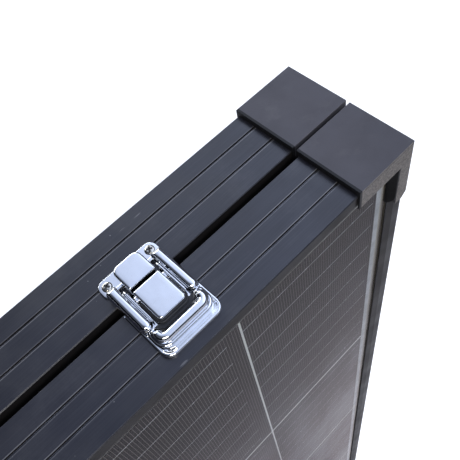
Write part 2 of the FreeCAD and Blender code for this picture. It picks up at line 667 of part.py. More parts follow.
def controller_housing():
    """Charge controller body with rounded corners, lead openings below, and two ears behind the flange."""
    x0, x1 = CONTROLLER_X
    z0, z1 = CONTROLLER_Z
    body = box(x0, x1, LAMINATE_BACK_Y + 2.0, CONTROLLER_FACE_Y, z0, z1)
    deep = [e for e in body.Edges if abs(e.tangentAt(e.FirstParameter).y) > 0.9]
    parts = [body.makeFillet(5.0, deep)]
    for z in CONTROLLER_EAR_Z:
        parts.append(box(x0 - 16, x0 + 4, FLANGE_INNER_Y - 3.0, FLANGE_INNER_Y, z - 8, z + 8))
    slots = []
    for i in range(5):
        z = z0 + 4.0
        x = x0 + 20 + 12 * i
        slots.append(box(x, x + 7, LAMINATE_BACK_Y + 8, CONTROLLER_FACE_Y - 4, z0 - 1, z))
    pocket = rod((BUTTON_X, CONTROLLER_FACE_Y - 3.6, BUTTON_Z), (0, 1, 0), 5.0, 5.2)
    holes = [controller_screw(z, SCREW_GAP) for z in CONTROLLER_EAR_Z]
    ear_clear = box(x0 - 0.1, x0 + 5, CONTROLLER_FACE_Y, 0, z0, z1)
    return without(join(parts), slots + [pocket, ear_clear] + holes)


def controller_cover():
    """Front cover with the screen's window and the button's hole."""
    x0, x1 = CONTROLLER_X
    plate = box(x0 + 2, x1 - 2, CONTROLLER_FACE_Y, CONTROLLER_FACE_Y + 2.0,
                CONTROLLER_Z[0] + 2, CONTROLLER_Z[1] - 2)
    deep = [e for e in plate.Edges if abs(e.tangentAt(e.FirstParameter).y) > 0.9]
    plate = plate.makeFillet(4.0, deep)
    window = box(SCREEN[0], SCREEN[1], CONTROLLER_FACE_Y - 1, 0, SCREEN[2], SCREEN[3])
    hole = rod((BUTTON_X, CONTROLLER_FACE_Y - 1, BUTTON_Z), (0, 1, 0), 5.0, 5.1)
    return without(plate, [window, hole])


def controller_screen():
    gap = 0.1
    return box(SCREEN[0] + gap, SCREEN[1] - gap, CONTROLLER_FACE_Y, CONTROLLER_FACE_Y + 1.4,
               SCREEN[2] + gap, SCREEN[3] - gap)


def controller_button():
    start = (BUTTON_X, CONTROLLER_FACE_Y - 2.0, BUTTON_Z)
    return join([rod(start, (0, 1, 0), 4.2, 5.0), cone((BUTTON_X, start[1] + 4.2, BUTTON_Z),
                                                       (0, 1, 0), 0.5, 5.0, 4.2)])


def junction_box():
    """Sealed box glued to the backsheet, with a stepped lid and two lead glands."""
    x0, x1 = BOX_X
    z0, z1 = BOX_Z
    base = box(x0, x1, LAMINATE_BACK_Y, LAMINATE_BACK_Y + 12.0, z0, z1)
    deep = [e for e in base.Edges if abs(e.tangentAt(e.FirstParameter).y) > 0.9]
    base = base.makeFillet(4.0, deep)
    lid = box(x0 + 3, x1 - 3, LAMINATE_BACK_Y + 11.0, LAMINATE_BACK_Y + 16.0, z0 + 3, z1 - 3)
    deep = [e for e in lid.Edges if abs(e.tangentAt(e.FirstParameter).y) > 0.9]
    lid = lid.makeFillet(4.0, deep)
    gland = rod((x0 - 10, LAMINATE_BACK_Y + 6.5, MIDDLE_Z), (1, 0, 0), 12, 5.0)
    lead_hole = rod((x0 - 11, LAMINATE_BACK_Y + 6.5, MIDDLE_Z), (1, 0, 0), 8, LEAD_RADIUS + 0.1)
    return join([base, lid, gland]).cut(lead_hole)


def bend(points, radius):
    """Round lead through the given points: straight runs with ball joints at the corners."""
    parts = []
    for start, end in zip(points, points[1:]):
        along = Vector(*end) - Vector(*start)
        parts.append(Part.makeCylinder(radius, along.Length, Vector(*start), along))
    for point in points[1:-1]:
        parts.append(Part.makeSphere(radius, Vector(*point)))
    return join(parts)


LEAD_Y = LAMINATE_BACK_Y + 6.5
LEAD_CROSS_X = -266.0
LEAD_CROSS_Z = 44.0
BRANCH_X = -318.0
BRANCH_Z = 230.0
OUTPUT_X = -338.0
COIL_X = 30.0
COIL_Z = 125.0
COIL_RADIUS = 62.0


def front_lead():
    """Lead from the front junction box to the controller's underside and to the fold."""
    x_box = BOX_X[0] - 4.0
    terminal_z = CONTROLLER_Z[0] - 0.5
    points = [(x_box, LEAD_Y, MIDDLE_Z), (LEAD_CROSS_X, LEAD_Y, MIDDLE_Z)]
    points += [(LEAD_CROSS_X, LEAD_Y, LEAD_CROSS_Z), (LEAD_CROSS_X, -2.0, LEAD_CROSS_Z)]
    branch = [(LEAD_CROSS_X, LEAD_Y, BRANCH_Z), (BRANCH_X, LEAD_Y, BRANCH_Z), (BRANCH_X, LEAD_Y, terminal_z)]
    return join([bend(points, LEAD_RADIUS), bend(branch, LEAD_RADIUS)])


def rear_lead():
    """Lead from the rear junction box down to the fold, on the rear panel's side."""
    x_box = BOX_X[0] - 4.0
    points = [(x_box, -LEAD_Y, MIDDLE_Z), (LEAD_CROSS_X, -LEAD_Y, MIDDLE_Z)]
    points += [(LEAD_CROSS_X, -LEAD_Y, LEAD_CROSS_Z), (LEAD_CROSS_X, 2.0, LEAD_CROSS_Z)]
    return bend(points, LEAD_RADIUS)


def output_lead():
    """Coiled output lead with its moulded plug, stowed against the back of the front panel."""
    coil_y = -17.0
    coil = Part.makeTorus(COIL_RADIUS, 7.5, Vector(COIL_X, coil_y, COIL_Z), Vector(0, 1, 0))
    over_y = LEAD_Y + 2 * LEAD_RADIUS + 0.4
    low_z = COIL_Z - COIL_RADIUS - 0.5
    tail = bend([(OUTPUT_X, over_y, CONTROLLER_Z[0] - 0.5), (OUTPUT_X, over_y, low_z),
                 (COIL_X + 2.0, over_y, low_z)], LEAD_RADIUS)
    plug_x = COIL_X + 50.0
    plug_z = COIL_Z + 47.0
    plug = box(plug_x, plug_x + 40.0, coil_y - 7.0, coil_y + 7.0, plug_z, plug_z + 20.0)
    plug = plug.makeFillet(2.0, plug.Edges)
    link = bend([(COIL_X + 32.0, coil_y, plug_z + 7.0), (plug_x + 2.0, coil_y, plug_z + 10.0)], 5.0)
    return join([coil, tail, plug, link])


# ---------------------------------------------------------------- assembly

def front_top_rail():
    rail = top_rail()
    cutters = []
    for x in (-LATCH_X, LATCH_X):
        cutters += [rivet(x, back, SCREW_GAP) for back in RIVET_BACKS]
    cutters += [handle_screw(x, SCREW_GAP) for x in handle_screw_places()]
    cutters += [leg_rivet(LEG_PIVOT_X + s * LEG_RIVET_SPREAD, SCREW_GAP) for s in (-1, 1)]
    return without(rail, cutters)


def rear_top_rail():
    rail = to_rear(top_rail())
    cutters = []
    for screw in [keeper_screw(side * EAR_X, SCREW_GAP) for side in (-1, 1)]:
        cutters += at_latches(screw)
    rivets = [leg_rivet(LEG_PIVOT_X + s * LEG_RIVET_SPREAD, SCREW_GAP) for s in (-1, 1)]
    return without(rail, cutters + [to_rear(r) for r in rivets])


def bottom_rail():
    holes = [countersunk_screw(x, y, SCREW_GAP) for x, y in hinge_screw_places()]
    return without(flip_z(top_rail()), holes)


def front_left_rail():
    return without(flip_x(right_rail()), [controller_screw(z, SCREW_GAP) for z in CONTROLLER_EAR_Z])


def panel_nodes(side, mirror):
    """The pieces that both framed panels have."""
    glass = sheet(GLASS_INSET, FRONT_Y + GLASS_RECESS, GLASS_BACK_Y)
    backing = sheet(GLASS_INSET, GLASS_BACK_Y + CELL_THICKNESS, LAMINATE_BACK_Y)
    nodes = {
        "bottom_rail": bottom_rail(),
        "right_rail": right_rail(),
        "corner_keys": corner_keys(),
        "glass": glass,
        "cells": cells(),
        "bus_ribbons": bus_ribbons(),
        "backsheet": backing,
        "edge_seal": edge_seal(),
        "corner_caps": four_corners(corner_cap()),
        "leg": leg(),
        "leg_bracket": leg_bracket(),
        "leg_knob": leg_knob(),
        "leg_foot": leg_foot(),
        "junction_box": junction_box(),
        "hinge_screws": group([countersunk_screw(x, y) for x, y in hinge_screw_places()]),
    }
    return {side + "_" + name: mirror(shape) for name, shape in nodes.items()}


def all_nodes():
    nodes = panel_nodes("front", lambda shape: shape)
    nodes.update(panel_nodes("rear", to_rear))
    nodes["front_top_rail"] = front_top_rail()
    nodes["rear_top_rail"] = rear_top_rail()
    nodes["front_left_rail"] = front_left_rail()
    nodes["rear_left_rail"] = to_rear(flip_x(right_rail()))
    nodes["front_feet"] = group([foot(-FRONT_FOOT_X), foot(FRONT_FOOT_X)])
    nodes["rear_feet"] = group([to_rear(foot(-REAR_FOOT_X)), to_rear(foot(REAR_FOOT_X))])
    nodes["front_hinge_leaves"] = group([hinge_leaf(x, -1) for x in HINGE_X])
    nodes["rear_hinge_leaves"] = group([hinge_leaf(x, 1) for x in HINGE_X])
    nodes["hinge_pins"] = group([hinge_pin(x) for x in HINGE_X])
    nodes["latch_bases"] = group(at_latches(latch_base()))
    nodes["latch_keepers"] = group(at_latches(latch_keeper()))
    nodes["left_latch_lever"], nodes["right_latch_lever"] = at_latches(latch_lever())
    nodes["left_latch_bail"], nodes["right_latch_bail"] = at_latches(latch_bail())
    nodes["latch_pins"] = group(at_latches(latch_rod(LEVER_PIVOT, -7.5, 7.5, 1.0)))
    screws = [keeper_screw(side * EAR_X) for side in (-1, 1)]
    nodes["keeper_screws"] = group(at_latches(screws[0]) + at_latches(screws[1]))
    rivets = [rivet(0, back) for back in RIVET_BACKS]
    nodes["latch_rivets"] = group(at_latches(rivets[0]) + at_latches(rivets[1]))
    nodes["handle_bow"] = handle_bow()
    nodes["handle_grip"] = handle_grip()
    nodes["handle_brackets"] = group([handle_bracket(), flip_x(handle_bracket())])
    nodes["handle_screws"] = group([handle_screw(x) for x in handle_screw_places()])
    nodes["controller_housing"] = controller_housing()
    nodes["controller_cover"] = controller_cover()
    nodes["controller_screen"] = controller_screen()
    nodes["controller_button"] = controller_button()
    nodes["controller_screws"] = group([controller_screw(z) for z in CONTROLLER_EAR_Z])
    nodes["front_lead"] = front_lead()
    nodes["rear_lead"] = rear_lead()
    nodes["output_lead"] = output_lead()
    return nodes


os.makedirs("parts", exist_ok=True)
for name, shape in sorted(all_nodes().items()):
    shape.exportStep("parts/" + name + ".step")
    print(name, len(shape.Solids), "valid" if shape.isValid() else "INVALID")
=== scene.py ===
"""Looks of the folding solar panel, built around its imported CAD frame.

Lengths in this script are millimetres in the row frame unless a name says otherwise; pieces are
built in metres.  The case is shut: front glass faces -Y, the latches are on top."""
import math
import random

import bmesh
import bpy
from mathutils import Matrix, Vector


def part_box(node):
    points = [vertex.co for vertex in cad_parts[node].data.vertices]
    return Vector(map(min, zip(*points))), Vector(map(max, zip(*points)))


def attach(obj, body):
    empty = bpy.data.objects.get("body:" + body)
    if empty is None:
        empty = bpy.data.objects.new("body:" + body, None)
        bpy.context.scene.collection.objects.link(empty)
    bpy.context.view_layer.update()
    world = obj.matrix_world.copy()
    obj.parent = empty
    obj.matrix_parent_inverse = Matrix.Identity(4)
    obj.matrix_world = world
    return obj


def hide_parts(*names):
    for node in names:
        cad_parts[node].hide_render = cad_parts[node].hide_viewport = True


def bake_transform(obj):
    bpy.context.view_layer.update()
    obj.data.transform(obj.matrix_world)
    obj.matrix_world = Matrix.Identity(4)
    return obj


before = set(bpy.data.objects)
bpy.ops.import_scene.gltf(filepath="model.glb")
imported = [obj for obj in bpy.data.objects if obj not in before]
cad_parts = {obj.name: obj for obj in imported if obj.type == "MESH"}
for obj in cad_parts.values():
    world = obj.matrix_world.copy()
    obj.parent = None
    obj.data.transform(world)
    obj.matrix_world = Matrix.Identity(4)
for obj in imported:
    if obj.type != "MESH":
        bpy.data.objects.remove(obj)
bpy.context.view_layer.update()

MM = 0.001


def box_mm(node):
    low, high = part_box(node)
    return low / MM, high / MM


def middle_mm(node):
    """A node's centre, and half its size, along each axis."""
    low, high = box_mm(node)
    return [(a + b) / 2 for a, b in zip(low, high)], [(b - a) / 2 for a, b in zip(low, high)]


TOP_RAIL_LOW, TOP_RAIL_HIGH = box_mm("front_top_rail")
FRONT_Y = TOP_RAIL_LOW.y
TOP_Z = TOP_RAIL_HIGH.z
HALF_LENGTH = TOP_RAIL_HIGH.x
BOTTOM_Z = box_mm("front_bottom_rail")[0].z
MIDDLE_Z = (TOP_Z + BOTTOM_Z) / 2

COLUMNS, ROWS, BUSBARS = 9, 4, 9
CELL_WIDTH, CELL_HEIGHT = 83.9, 166.5
CELLS_LOW, CELLS_HIGH = box_mm("front_cells")
COLUMN_PITCH = (CELLS_HIGH.x - CELLS_LOW.x - CELL_WIDTH) / (COLUMNS - 1)
ROW_PITCH = (CELLS_HIGH.z - CELLS_LOW.z - CELL_HEIGHT) / (ROWS - 1)
CAP_TOP_Z = box_mm("front_corner_caps")[1].z
GLASS_INDEX = 1.52
CLEAR = (0.93, 0.95, 0.95)
GROOVE_BACKS = (10.3, 21.0)
# Offsets and strengths of the painted highlight lines along the groove lips.
GROOVE_LIP_HIGHLIGHTS = ((-0.78, 0.2), (0.78, 0.5))
FINGER_PITCH, FINGER_WIDTH = 1.5, 0.17
FINGERS_FADE = (0.8, 1.4)


# ---------------------------------------------------------------- materials

class Nodes:
    """Shorthand for building a node tree."""

    def __init__(self, tree):
        self.nodes, self.links = tree.nodes, tree.links

    def put(self, socket, value):
        if isinstance(value, bpy.types.NodeSocket):
            self.links.new(value, socket)
        elif socket.type == "RGBA" and len(value) == 3:
            socket.default_value = (*value, 1.0)
        else:
            socket.default_value = value

    def add(self, kind, inputs=None, out=0, **settings):
        node = self.nodes.new(kind)
        for key, value in settings.items():
            setattr(node, key, value)
        for key, value in (inputs or {}).items():
            self.put(node.inputs[key], value)
        return node.outputs[out]

    def math(self, operation, a, b=0.0, c=0.0):
        return self.add("ShaderNodeMath", {0: a, 1: b, 2: c}, operation=operation)


class Surface(Nodes):
    """A node material under construction; .place is the object coordinate in metres."""

    def __init__(self, name, **values):
        self.material = bpy.data.materials.new(name)
        self.material.use_nodes = True
        super().__init__(self.material.node_tree)
        self.shader = self.nodes["Principled BSDF"]
        self.place = self.add("ShaderNodeTexCoord", out="Object")
        self.set(**values)

    def set(self, **values):
        """Principled inputs by name, with _ for a space."""
        for key, value in values.items():
            self.put(self.shader.inputs[key.replace("_", " ")], value)
        return self.material

    def show(self, shader):
        """Puts another shader in the principled one's place."""
        self.links.new(shader, self.nodes["Material Output"].inputs["Surface"])
        return self.material

    def axis(self, name):
        return self.add("ShaderNodeSeparateXYZ", {0: self.place}, out=name)

    def off(self, name):
        """Distance from the object's middle plane along the named axis."""
        return self.math("ABSOLUTE", self.axis(name))

    def away(self, value, place):
        return self.math("ABSOLUTE", self.math("SUBTRACT", value, place))

    def stretched(self, scale=(1, 1, 1)):
        return self.add("ShaderNodeMapping", {"Vector": self.place, "Scale": scale}, out="Vector")

    def noise(self, per_metre, detail=2.0, stretch=(1, 1, 1), rough=0.5):
        inputs = {"Vector": self.stretched(stretch), "Scale": per_metre, "Detail": detail, "Roughness": rough}
        return self.add("ShaderNodeTexNoise", inputs)

    def grain(self, per_metre):
        """Distance inside rounded grains, as in moulded leather or plastic texture."""
        inputs = {"Vector": self.stretched(), "Scale": per_metre}
        return self.add("ShaderNodeTexVoronoi", inputs, out="Distance")

    def span(self, value, low, high, to_low=0.0, to_high=1.0):
        """Smooth step of a value between low and high, to another range."""
        inputs = {"Value": value, "From Min": low, "From Max": high, "To Min": to_low, "To Max": to_high}
        return self.add("ShaderNodeMapRange", inputs, interpolation_type="SMOOTHSTEP")

    def vary(self, per_metre, detail, to_low=0.0, to_high=1.0, rough=0.5):
        """Noise spread over the whole of a range."""
        return self.span(self.noise(per_metre, detail, rough=rough), 0.3, 0.7, to_low, to_high)

    def mix(self, share, a, b):
        node = self.nodes.new("ShaderNodeMix")
        node.data_type = "RGBA"
        for index, value in ((0, share), (6, a), (7, b)):
            self.put(node.inputs[index], value)
        return node.outputs[2]

    def bump(self, height, depth_mm, base=None):
        inputs = {"Height": height, "Distance": depth_mm * MM}
        if base is not None:
            inputs["Normal"] = base
        return self.add("ShaderNodeBump", inputs, out="Normal")

    def stripes(self, coordinate, pitch_mm, width_mm):
        """1 on soft-edged lines of a width, repeated at a pitch along a coordinate in metres, else 0."""
        turns = self.math("FRACT", self.math("MULTIPLY_ADD", coordinate, 1 / (pitch_mm * MM)))
        half = width_mm / pitch_mm / 2
        return self.span(self.away(turns, 0.5), half * 0.75, half * 1.25, 1.0, 0.0)

    def turned(self, axis):
        """How squarely a face looks along the named object axis, either way, from 0 to 1."""
        normal = self.add("ShaderNodeTexCoord", out="Normal")
        return self.math("ABSOLUTE", self.add("ShaderNodeSeparateXYZ", {0: normal}, out=axis))

    def facing(self, axis):
        """1 on faces that look along the named object axis, either way, else 0."""
        return self.span(self.turned(axis), 0.6, 0.9)

    def edges(self, radius_mm):
        """1 near the shape's own sharp edges, from rounded normals."""
        rounded = self.add("ShaderNodeBevel", {"Radius": radius_mm * MM}, samples=4)
        flat = self.add("ShaderNodeNewGeometry", out="Normal")
        same = self.add("ShaderNodeVectorMath", {0: rounded, 1: flat}, out="Value", operation="DOT_PRODUCT")
        return self.span(self.math("SUBTRACT", 1.0, same), 0.02, 0.25)


def anodised(name, along):
    """Dark anodised aluminium extrusion; its die lines run along the named axis."""
    s = Surface(name)
    across = {"X": (0.012, 1, 1), "Z": (1, 1, 0.012)}[along]
    die = s.noise(2600, 3, across)
    cloud = s.noise(9, 4, rough=0.6)
    tone = s.mix(s.span(cloud, 0.3, 0.72), (0.006, 0.006, 0.012), (0.012, 0.012, 0.022))
    tone = s.mix(s.math("MULTIPLY", s.span(die, 0.35, 0.7), 0.10), tone, (0.11, 0.115, 0.135))
    # Edges turn lighter: real wear, and also painted edge highlights.
    worn_and_highlit = s.math("MULTIPLY", s.edges(0.35), s.span(s.noise(160, 3), 0.3, 0.62, 0.25, 1.0))
    tone = s.mix(s.math("MULTIPLY", worn_and_highlit, 0.85), tone, (0.36, 0.37, 0.40))
    speck = s.span(s.noise(620, 1), 0.80, 0.84)
    scuff = s.span(s.noise(340, 2, (0.15, 1.0, 0.5)), 0.76, 0.80, 0.0, 0.5)
    marks = s.math("MAXIMUM", speck, scuff)
    tone = s.mix(s.math("MULTIPLY", marks, 0.55), tone, (0.42, 0.41, 0.40))
    dust = s.span(s.noise(45, 5, rough=0.7), 0.5, 0.8, 0.0, 0.06)
    tone = s.mix(dust, tone, (0.30, 0.29, 0.28))
    # Painted light: faces that look along Y take a warm tone of their own, for the warm light that falls on
    # them; the sheen below also weakens their specular.
    tone = s.mix(s.math("MULTIPLY", s.facing("Y"), 0.9), tone, (0.019, 0.017, 0.016))
    # Painted highlights: light lines along both lips of each groove.
    depth = s.math("SUBTRACT", -FRONT_Y * MM, s.off("Y"))
    for back in GROOVE_BACKS:
        for shift, strength in GROOVE_LIP_HIGHLIGHTS:
            line = s.span(s.away(depth, (back + shift) * MM), 0.10 * MM, 0.25 * MM, strength, 0.0)
            tone = s.mix(line, tone, (0.28, 0.27, 0.27))
    sheen = s.math("MULTIPLY_ADD", s.facing("Y"), -0.78, 0.93)
    s.set(Base_Color=tone, Roughness=s.vary(60, 3, 0.29, 0.42), Metallic=0.15, Specular_IOR_Level=sheen)
    fine = s.bump(s.noise(5200, 2), 0.012)
    return s.set(Normal=s.bump(die, 0.02, fine))


def moulded(name, dark, light, rough=0.55, grain_mm=0.45, edge=None, depth=0.035, shade_masks=(), lit_faces=None,
            gloss=0.45):
    """Moulded plastic with a fine grain, colour drift, and edges that wear lighter and also serve as painted
    highlights; if asked, painted light on its -Y and +Y faces, and painted shade over given areas.
    """
    s = Surface(name, Specular_IOR_Level=gloss)
    tone = s.mix(s.vary(25, 4, rough=0.6), dark, light)
    # Painted light: outer faces that look along Y take a lighter, speckled tone, for the light they catch.
    if lit_faces:
        outside = s.math("GREATER_THAN", s.off("Y"), (-FRONT_Y - 4.0) * MM)
        speckle = s.span(s.noise(1500, 3, rough=0.7), 0.36, 0.64)
        lit_face_tone = s.mix(speckle, [0.6 * value for value in lit_faces], [1.5 * value for value in lit_faces])
        tone = s.mix(s.math("MULTIPLY", s.facing("Y"), outside), tone, lit_face_tone)
    # Edges turn lighter: real wear, and also painted edge highlights.
    if edge:
        rubbed_and_highlit = s.math("MULTIPLY", s.edges(0.5), s.vary(210, 3, 0.2, 0.75))
        tone = s.mix(rubbed_and_highlit, tone, edge)
    dust = s.span(s.noise(70, 5, rough=0.7), 0.52, 0.8, 0.0, 0.12)
    tone = s.mix(dust, tone, (0.32, 0.31, 0.30))
    # Painted shade: each of these areas is darkened to near black.
    for mask in shade_masks:
        tone = s.mix(mask(s), tone, (0.006, 0.006, 0.008))
    s.set(Base_Color=tone, Roughness=s.vary(90, 3, rough - 0.06, rough + 0.08))
    height = s.math("ADD", s.grain(1000 / grain_mm), s.math("MULTIPLY", s.noise(3800, 2), 0.6))
    return s.set(Normal=s.bump(height, depth))


def metal(name, colour, rough=0.2, tarnish=(0.45, 0.42, 0.36), brushed=None, amount=0.25):
    """Bright plated or brushed metal with smudges, fine scratches and dulled patches."""
    s = Surface(name, Metallic=1.0)
    dull = s.math("MULTIPLY", s.span(s.noise(240, 4, rough=0.65), 0.5, 0.78), amount)
    s.set(Base_Color=s.mix(dull, colour, tarnish))
    s.set(Roughness=s.span(s.noise(150, 3), 0.3, 0.75, rough, rough + 0.10))
    height = s.noise(2400, 2, brushed or (1, 1, 1))
    return s.set(Normal=s.bump(height, 0.012 if brushed else 0.006))


def chrome_finish():
    """Mirror chrome over a slightly wavy pressing, with faint smudges and pits."""
    s = Surface("chrome", Metallic=1.0)
    smudge = s.span(s.noise(130, 4, rough=0.6), 0.45, 0.8)
    s.set(Base_Color=s.mix(s.math("MULTIPLY", smudge, 0.35), (0.93, 0.945, 0.97), (0.80, 0.80, 0.80)))
    s.set(Roughness=s.math("MULTIPLY_ADD", smudge, 0.09, 0.03))
    wave = s.bump(s.noise(190, 1), 0.05)
    return s.set(Normal=s.bump(s.span(s.noise(2900, 1), 0.70, 0.8), 0.01, wave))


def silicon():
    """Monocrystalline cell: near-black blue with fine printed fingers and a tone per wafer."""
    s = Surface("silicon", Specular_IOR_Level=0.3, Roughness=0.35)
    column = s.math("FLOOR", s.math("MULTIPLY_ADD", s.axis("X"), 1 / (COLUMN_PITCH * MM), COLUMNS / 2))
    row = s.math("FLOOR", s.math("MULTIPLY_ADD", s.axis("Z"), 1 / (ROW_PITCH * MM), -CELLS_LOW.z / ROW_PITCH))
    where = s.add("ShaderNodeCombineXYZ", {0: column, 1: row})
    wafer = s.add("ShaderNodeTexWhiteNoise", {"Vector": where}, out=0)
    tone = s.mix(wafer, (0.010, 0.010, 0.016), (0.018, 0.016, 0.020))
    tone = s.mix(s.vary(14, 3), tone, (0.020, 0.017, 0.018))
    near = s.span(s.add("ShaderNodeCameraData", out="View Distance"), *FINGERS_FADE, 1.0, 0.0)
    even = FINGER_WIDTH / FINGER_PITCH
    fingers = s.math("MULTIPLY_ADD", s.stripes(s.axis("X"), FINGER_PITCH, FINGER_WIDTH), near,
                     s.math("MULTIPLY_ADD", near, -even, even))
    tone = s.mix(s.math("MULTIPLY", fingers, 0.75), tone, (0.30, 0.27, 0.26))
    s.set(Base_Color=tone, Metallic=0.0)
    return s.set(Normal=s.bump(fingers, 0.015, s.bump(s.noise(6000, 1), 0.006)))


def front_glass():
    """Low-iron glass bonded to the cells: it bends light at its outer face only, under thin dust films; its
    gloss carries a painted reflection and painted shade towards the top.
    """
    s = Surface("solar_glass")
    smear = s.noise(16, 5, (1.0, 1.0, 0.45), rough=0.6)
    # Painted reflection: the gloss takes a warm, patchy colour, as from the ground it would reflect.
    paving_reflection = s.noise(22, 3, (1.4, 1.0, 0.8))
    clear = s.add("ShaderNodeBsdfTransparent", {"Color": CLEAR})
    painted_reflection = s.mix(s.span(paving_reflection, 0.35, 0.65), (0.80, 0.73, 0.72), (1.0, 0.95, 0.95))
    # Painted shade: the gloss darkens towards the top rail.
    shade_near_top = s.span(s.axis("Z"), (TOP_Z - 330) * MM, (TOP_Z + 40) * MM)
    painted_reflection = s.mix(shade_near_top, painted_reflection, (0.30, 0.27, 0.265))
    fine = s.bump(s.noise(900, 2), 0.004)
    shine = s.add("ShaderNodeBsdfGlossy", {"Color": painted_reflection, "Roughness": 0.10, "Normal": fine})
    haze = s.add("ShaderNodeBsdfDiffuse", {"Color": (0.62, 0.58, 0.56)})
    share = s.add("ShaderNodeFresnel", {"IOR": GLASS_INDEX, "Normal": fine})
    dusty = s.span(smear, 0.30, 0.75, 0.015, 0.045)
    bent = s.add("ShaderNodeBsdfRefraction", {"Color": CLEAR, "Roughness": 0.0, "IOR": GLASS_INDEX})
    film = s.add("ShaderNodeMixShader", {0: dusty, 1: bent, 2: haze})
    front = s.add("ShaderNodeMixShader", {0: share, 1: film, 2: shine})
    inside = s.add("ShaderNodeNewGeometry", out="Backfacing")
    outer = s.math("GREATER_THAN", s.off("Y"), (abs(FRONT_Y) - 3.0) * MM)
    skin = s.math("MULTIPLY", s.math("SUBTRACT", 1.0, inside), s.math("MULTIPLY", outer, s.turned("Y")))
    return s.show(s.add("ShaderNodeMixShader", {0: skin, 1: clear, 2: front}))


def backsheet():
    """White sheet, turning cream and then brown towards the frame's lip: partly sealant that creeps in,
    partly painted shade under the lip.
    """
    s = Surface("backsheet", Roughness=0.45)
    tone = s.mix(s.vary(30, 4), (0.90, 0.885, 0.84), (0.95, 0.935, 0.89))
    # Painted shade and sealant: the sheet turns cream, then dark brown, towards the frame's lip.
    out = s.math("MULTIPLY_ADD", s.noise(60, 3), 0.9 * MM, s.off("X"))
    cream = s.span(out, (HALF_LENGTH - 12.7) * MM, (HALF_LENGTH - 11.1) * MM)
    brown = s.span(out, (HALF_LENGTH - 11.3) * MM, (HALF_LENGTH - 9.7) * MM)
    tone = s.mix(cream, tone, (0.50, 0.45, 0.385))
    tone = s.mix(brown, tone, (0.10, 0.082, 0.062))
    return s.set(Base_Color=tone, Normal=s.bump(s.noise(420, 3), 0.03))


def tinned():
    """Flat tinned copper ribbon with solder waves."""
    s = Surface("tinned_ribbon", Metallic=0.75)
    tone = s.mix(s.vary(130, 4), (0.62, 0.63, 0.64), (0.80, 0.81, 0.82))
    s.set(Base_Color=tone, Roughness=s.vary(300, 2, 0.28, 0.5))
    return s.set(Normal=s.bump(s.noise(260, 3), 0.06))


def soft_foam():
    """Closed-cell rubber of the carry grip."""
    s = Surface("soft_grip_foam", Specular_IOR_Level=0.25)
    tone = s.mix(s.vary(60, 4), (0.012, 0.012, 0.013), (0.028, 0.028, 0.030))
    dust = s.span(s.noise(260, 4, rough=0.7), 0.55, 0.8, 0.0, 0.2)
    s.set(Base_Color=s.mix(dust, tone, (0.20, 0.19, 0.18)), Roughness=0.86)
    return s.set(Normal=s.bump(s.grain(1700), 0.10))


def display():
    """Reflective liquid-crystal screen behind a clear window."""
    s = Surface("lcd_window", Roughness=0.16, Coat_Weight=1.0, Coat_Roughness=0.04)
    dots = s.math("MAXIMUM", s.stripes(s.axis("X"), 0.5, 0.06), s.stripes(s.axis("Z"), 0.5, 0.06))
    tone = s.mix(s.vary(40, 3), (0.30, 0.36, 0.25), (0.36, 0.43, 0.30))
    return s.set(Base_Color=s.mix(s.math("MULTIPLY", dots, 0.25), tone, (0.16, 0.20, 0.14)))


def cap_end(s):
    """The cap's inner end walls, which sit in shade."""
    return s.math("LESS_THAN", s.off("X"), (HALF_LENGTH - 31.7) * MM)


def cap_tab(s):
    """Painted shade on the cap beside its upright arm, where the recessed tab sits."""
    away = s.away(s.axis("Z"), MIDDLE_Z * MM)
    inner = s.math("LESS_THAN", s.off("X"), (HALF_LENGTH - 5.85) * MM)
    return s.math("MULTIPLY", inner, s.math("LESS_THAN", away, (TOP_Z - MIDDLE_Z - 8.6) * MM))


def cap_line(s):
    """The fine shadow line under the cap's top edge, on its outer face."""
    band = s.away(s.away(s.axis("Z"), MIDDLE_Z * MM), (CAP_TOP_Z - MIDDLE_Z - 1.25) * MM)
    return s.math("MULTIPLY", s.facing("Y"), s.span(band, 0.10 * MM, 0.28 * MM, 0.75, 0.0))


CAP_SHADES = (cap_end, cap_tab, cap_line)
RAIL_X = anodised("anodised_along_x", "X")
RAIL_Z = anodised("anodised_along_z", "Z")
# Cap plastic: its edge colour doubles as a painted edge highlight, and its last colour is painted light on
# its outer faces.
CAP = moulded("cap_plastic", (0.070, 0.067, 0.078), (0.088, 0.084, 0.097), 0.55, 0.5,
              (0.30, 0.29, 0.30), 0.03, CAP_SHADES, (0.17, 0.155, 0.14))
# Near-black painted shade for the cap tabs.
TAB = moulded("cap_tab_shade", (0.004, 0.004, 0.004), (0.009, 0.009, 0.009), 0.8, 0.5, None, 0.03,
              gloss=0.12)
BLACK = moulded("black_plastic", (0.014, 0.014, 0.016), (0.026, 0.026, 0.029), 0.42, 0.4, (0.08, 0.08, 0.085))
SHELL = moulded("controller_shell", (0.020, 0.021, 0.024), (0.034, 0.035, 0.039), 0.48, 0.35,
                (0.10, 0.10, 0.11))
COVER = moulded("controller_cover_plate", (0.095, 0.10, 0.11), (0.125, 0.13, 0.14), 0.5, 0.3,
                (0.22, 0.22, 0.23))
BUTTON = moulded("button_rubber", (0.30, 0.055, 0.012), (0.38, 0.08, 0.02), 0.6, 0.3, (0.45, 0.16, 0.08))
RUBBER = moulded("black_rubber", (0.010, 0.010, 0.011), (0.022, 0.022, 0.023), 0.78, 0.6,
                 (0.07, 0.07, 0.07), 0.05)
JACKET = moulded("lead_jacket", (0.010, 0.010, 0.011), (0.018, 0.018, 0.019), 0.5, 0.9, None, 0.02)
RED_JACKET = moulded("lead_red", (0.26, 0.012, 0.010), (0.34, 0.02, 0.016), 0.5, 0.9, None, 0.02)
CHROME = chrome_finish()
NICKEL = metal("nickel", (0.70, 0.67, 0.60), 0.18, (0.40, 0.32, 0.20), None, 0.5)
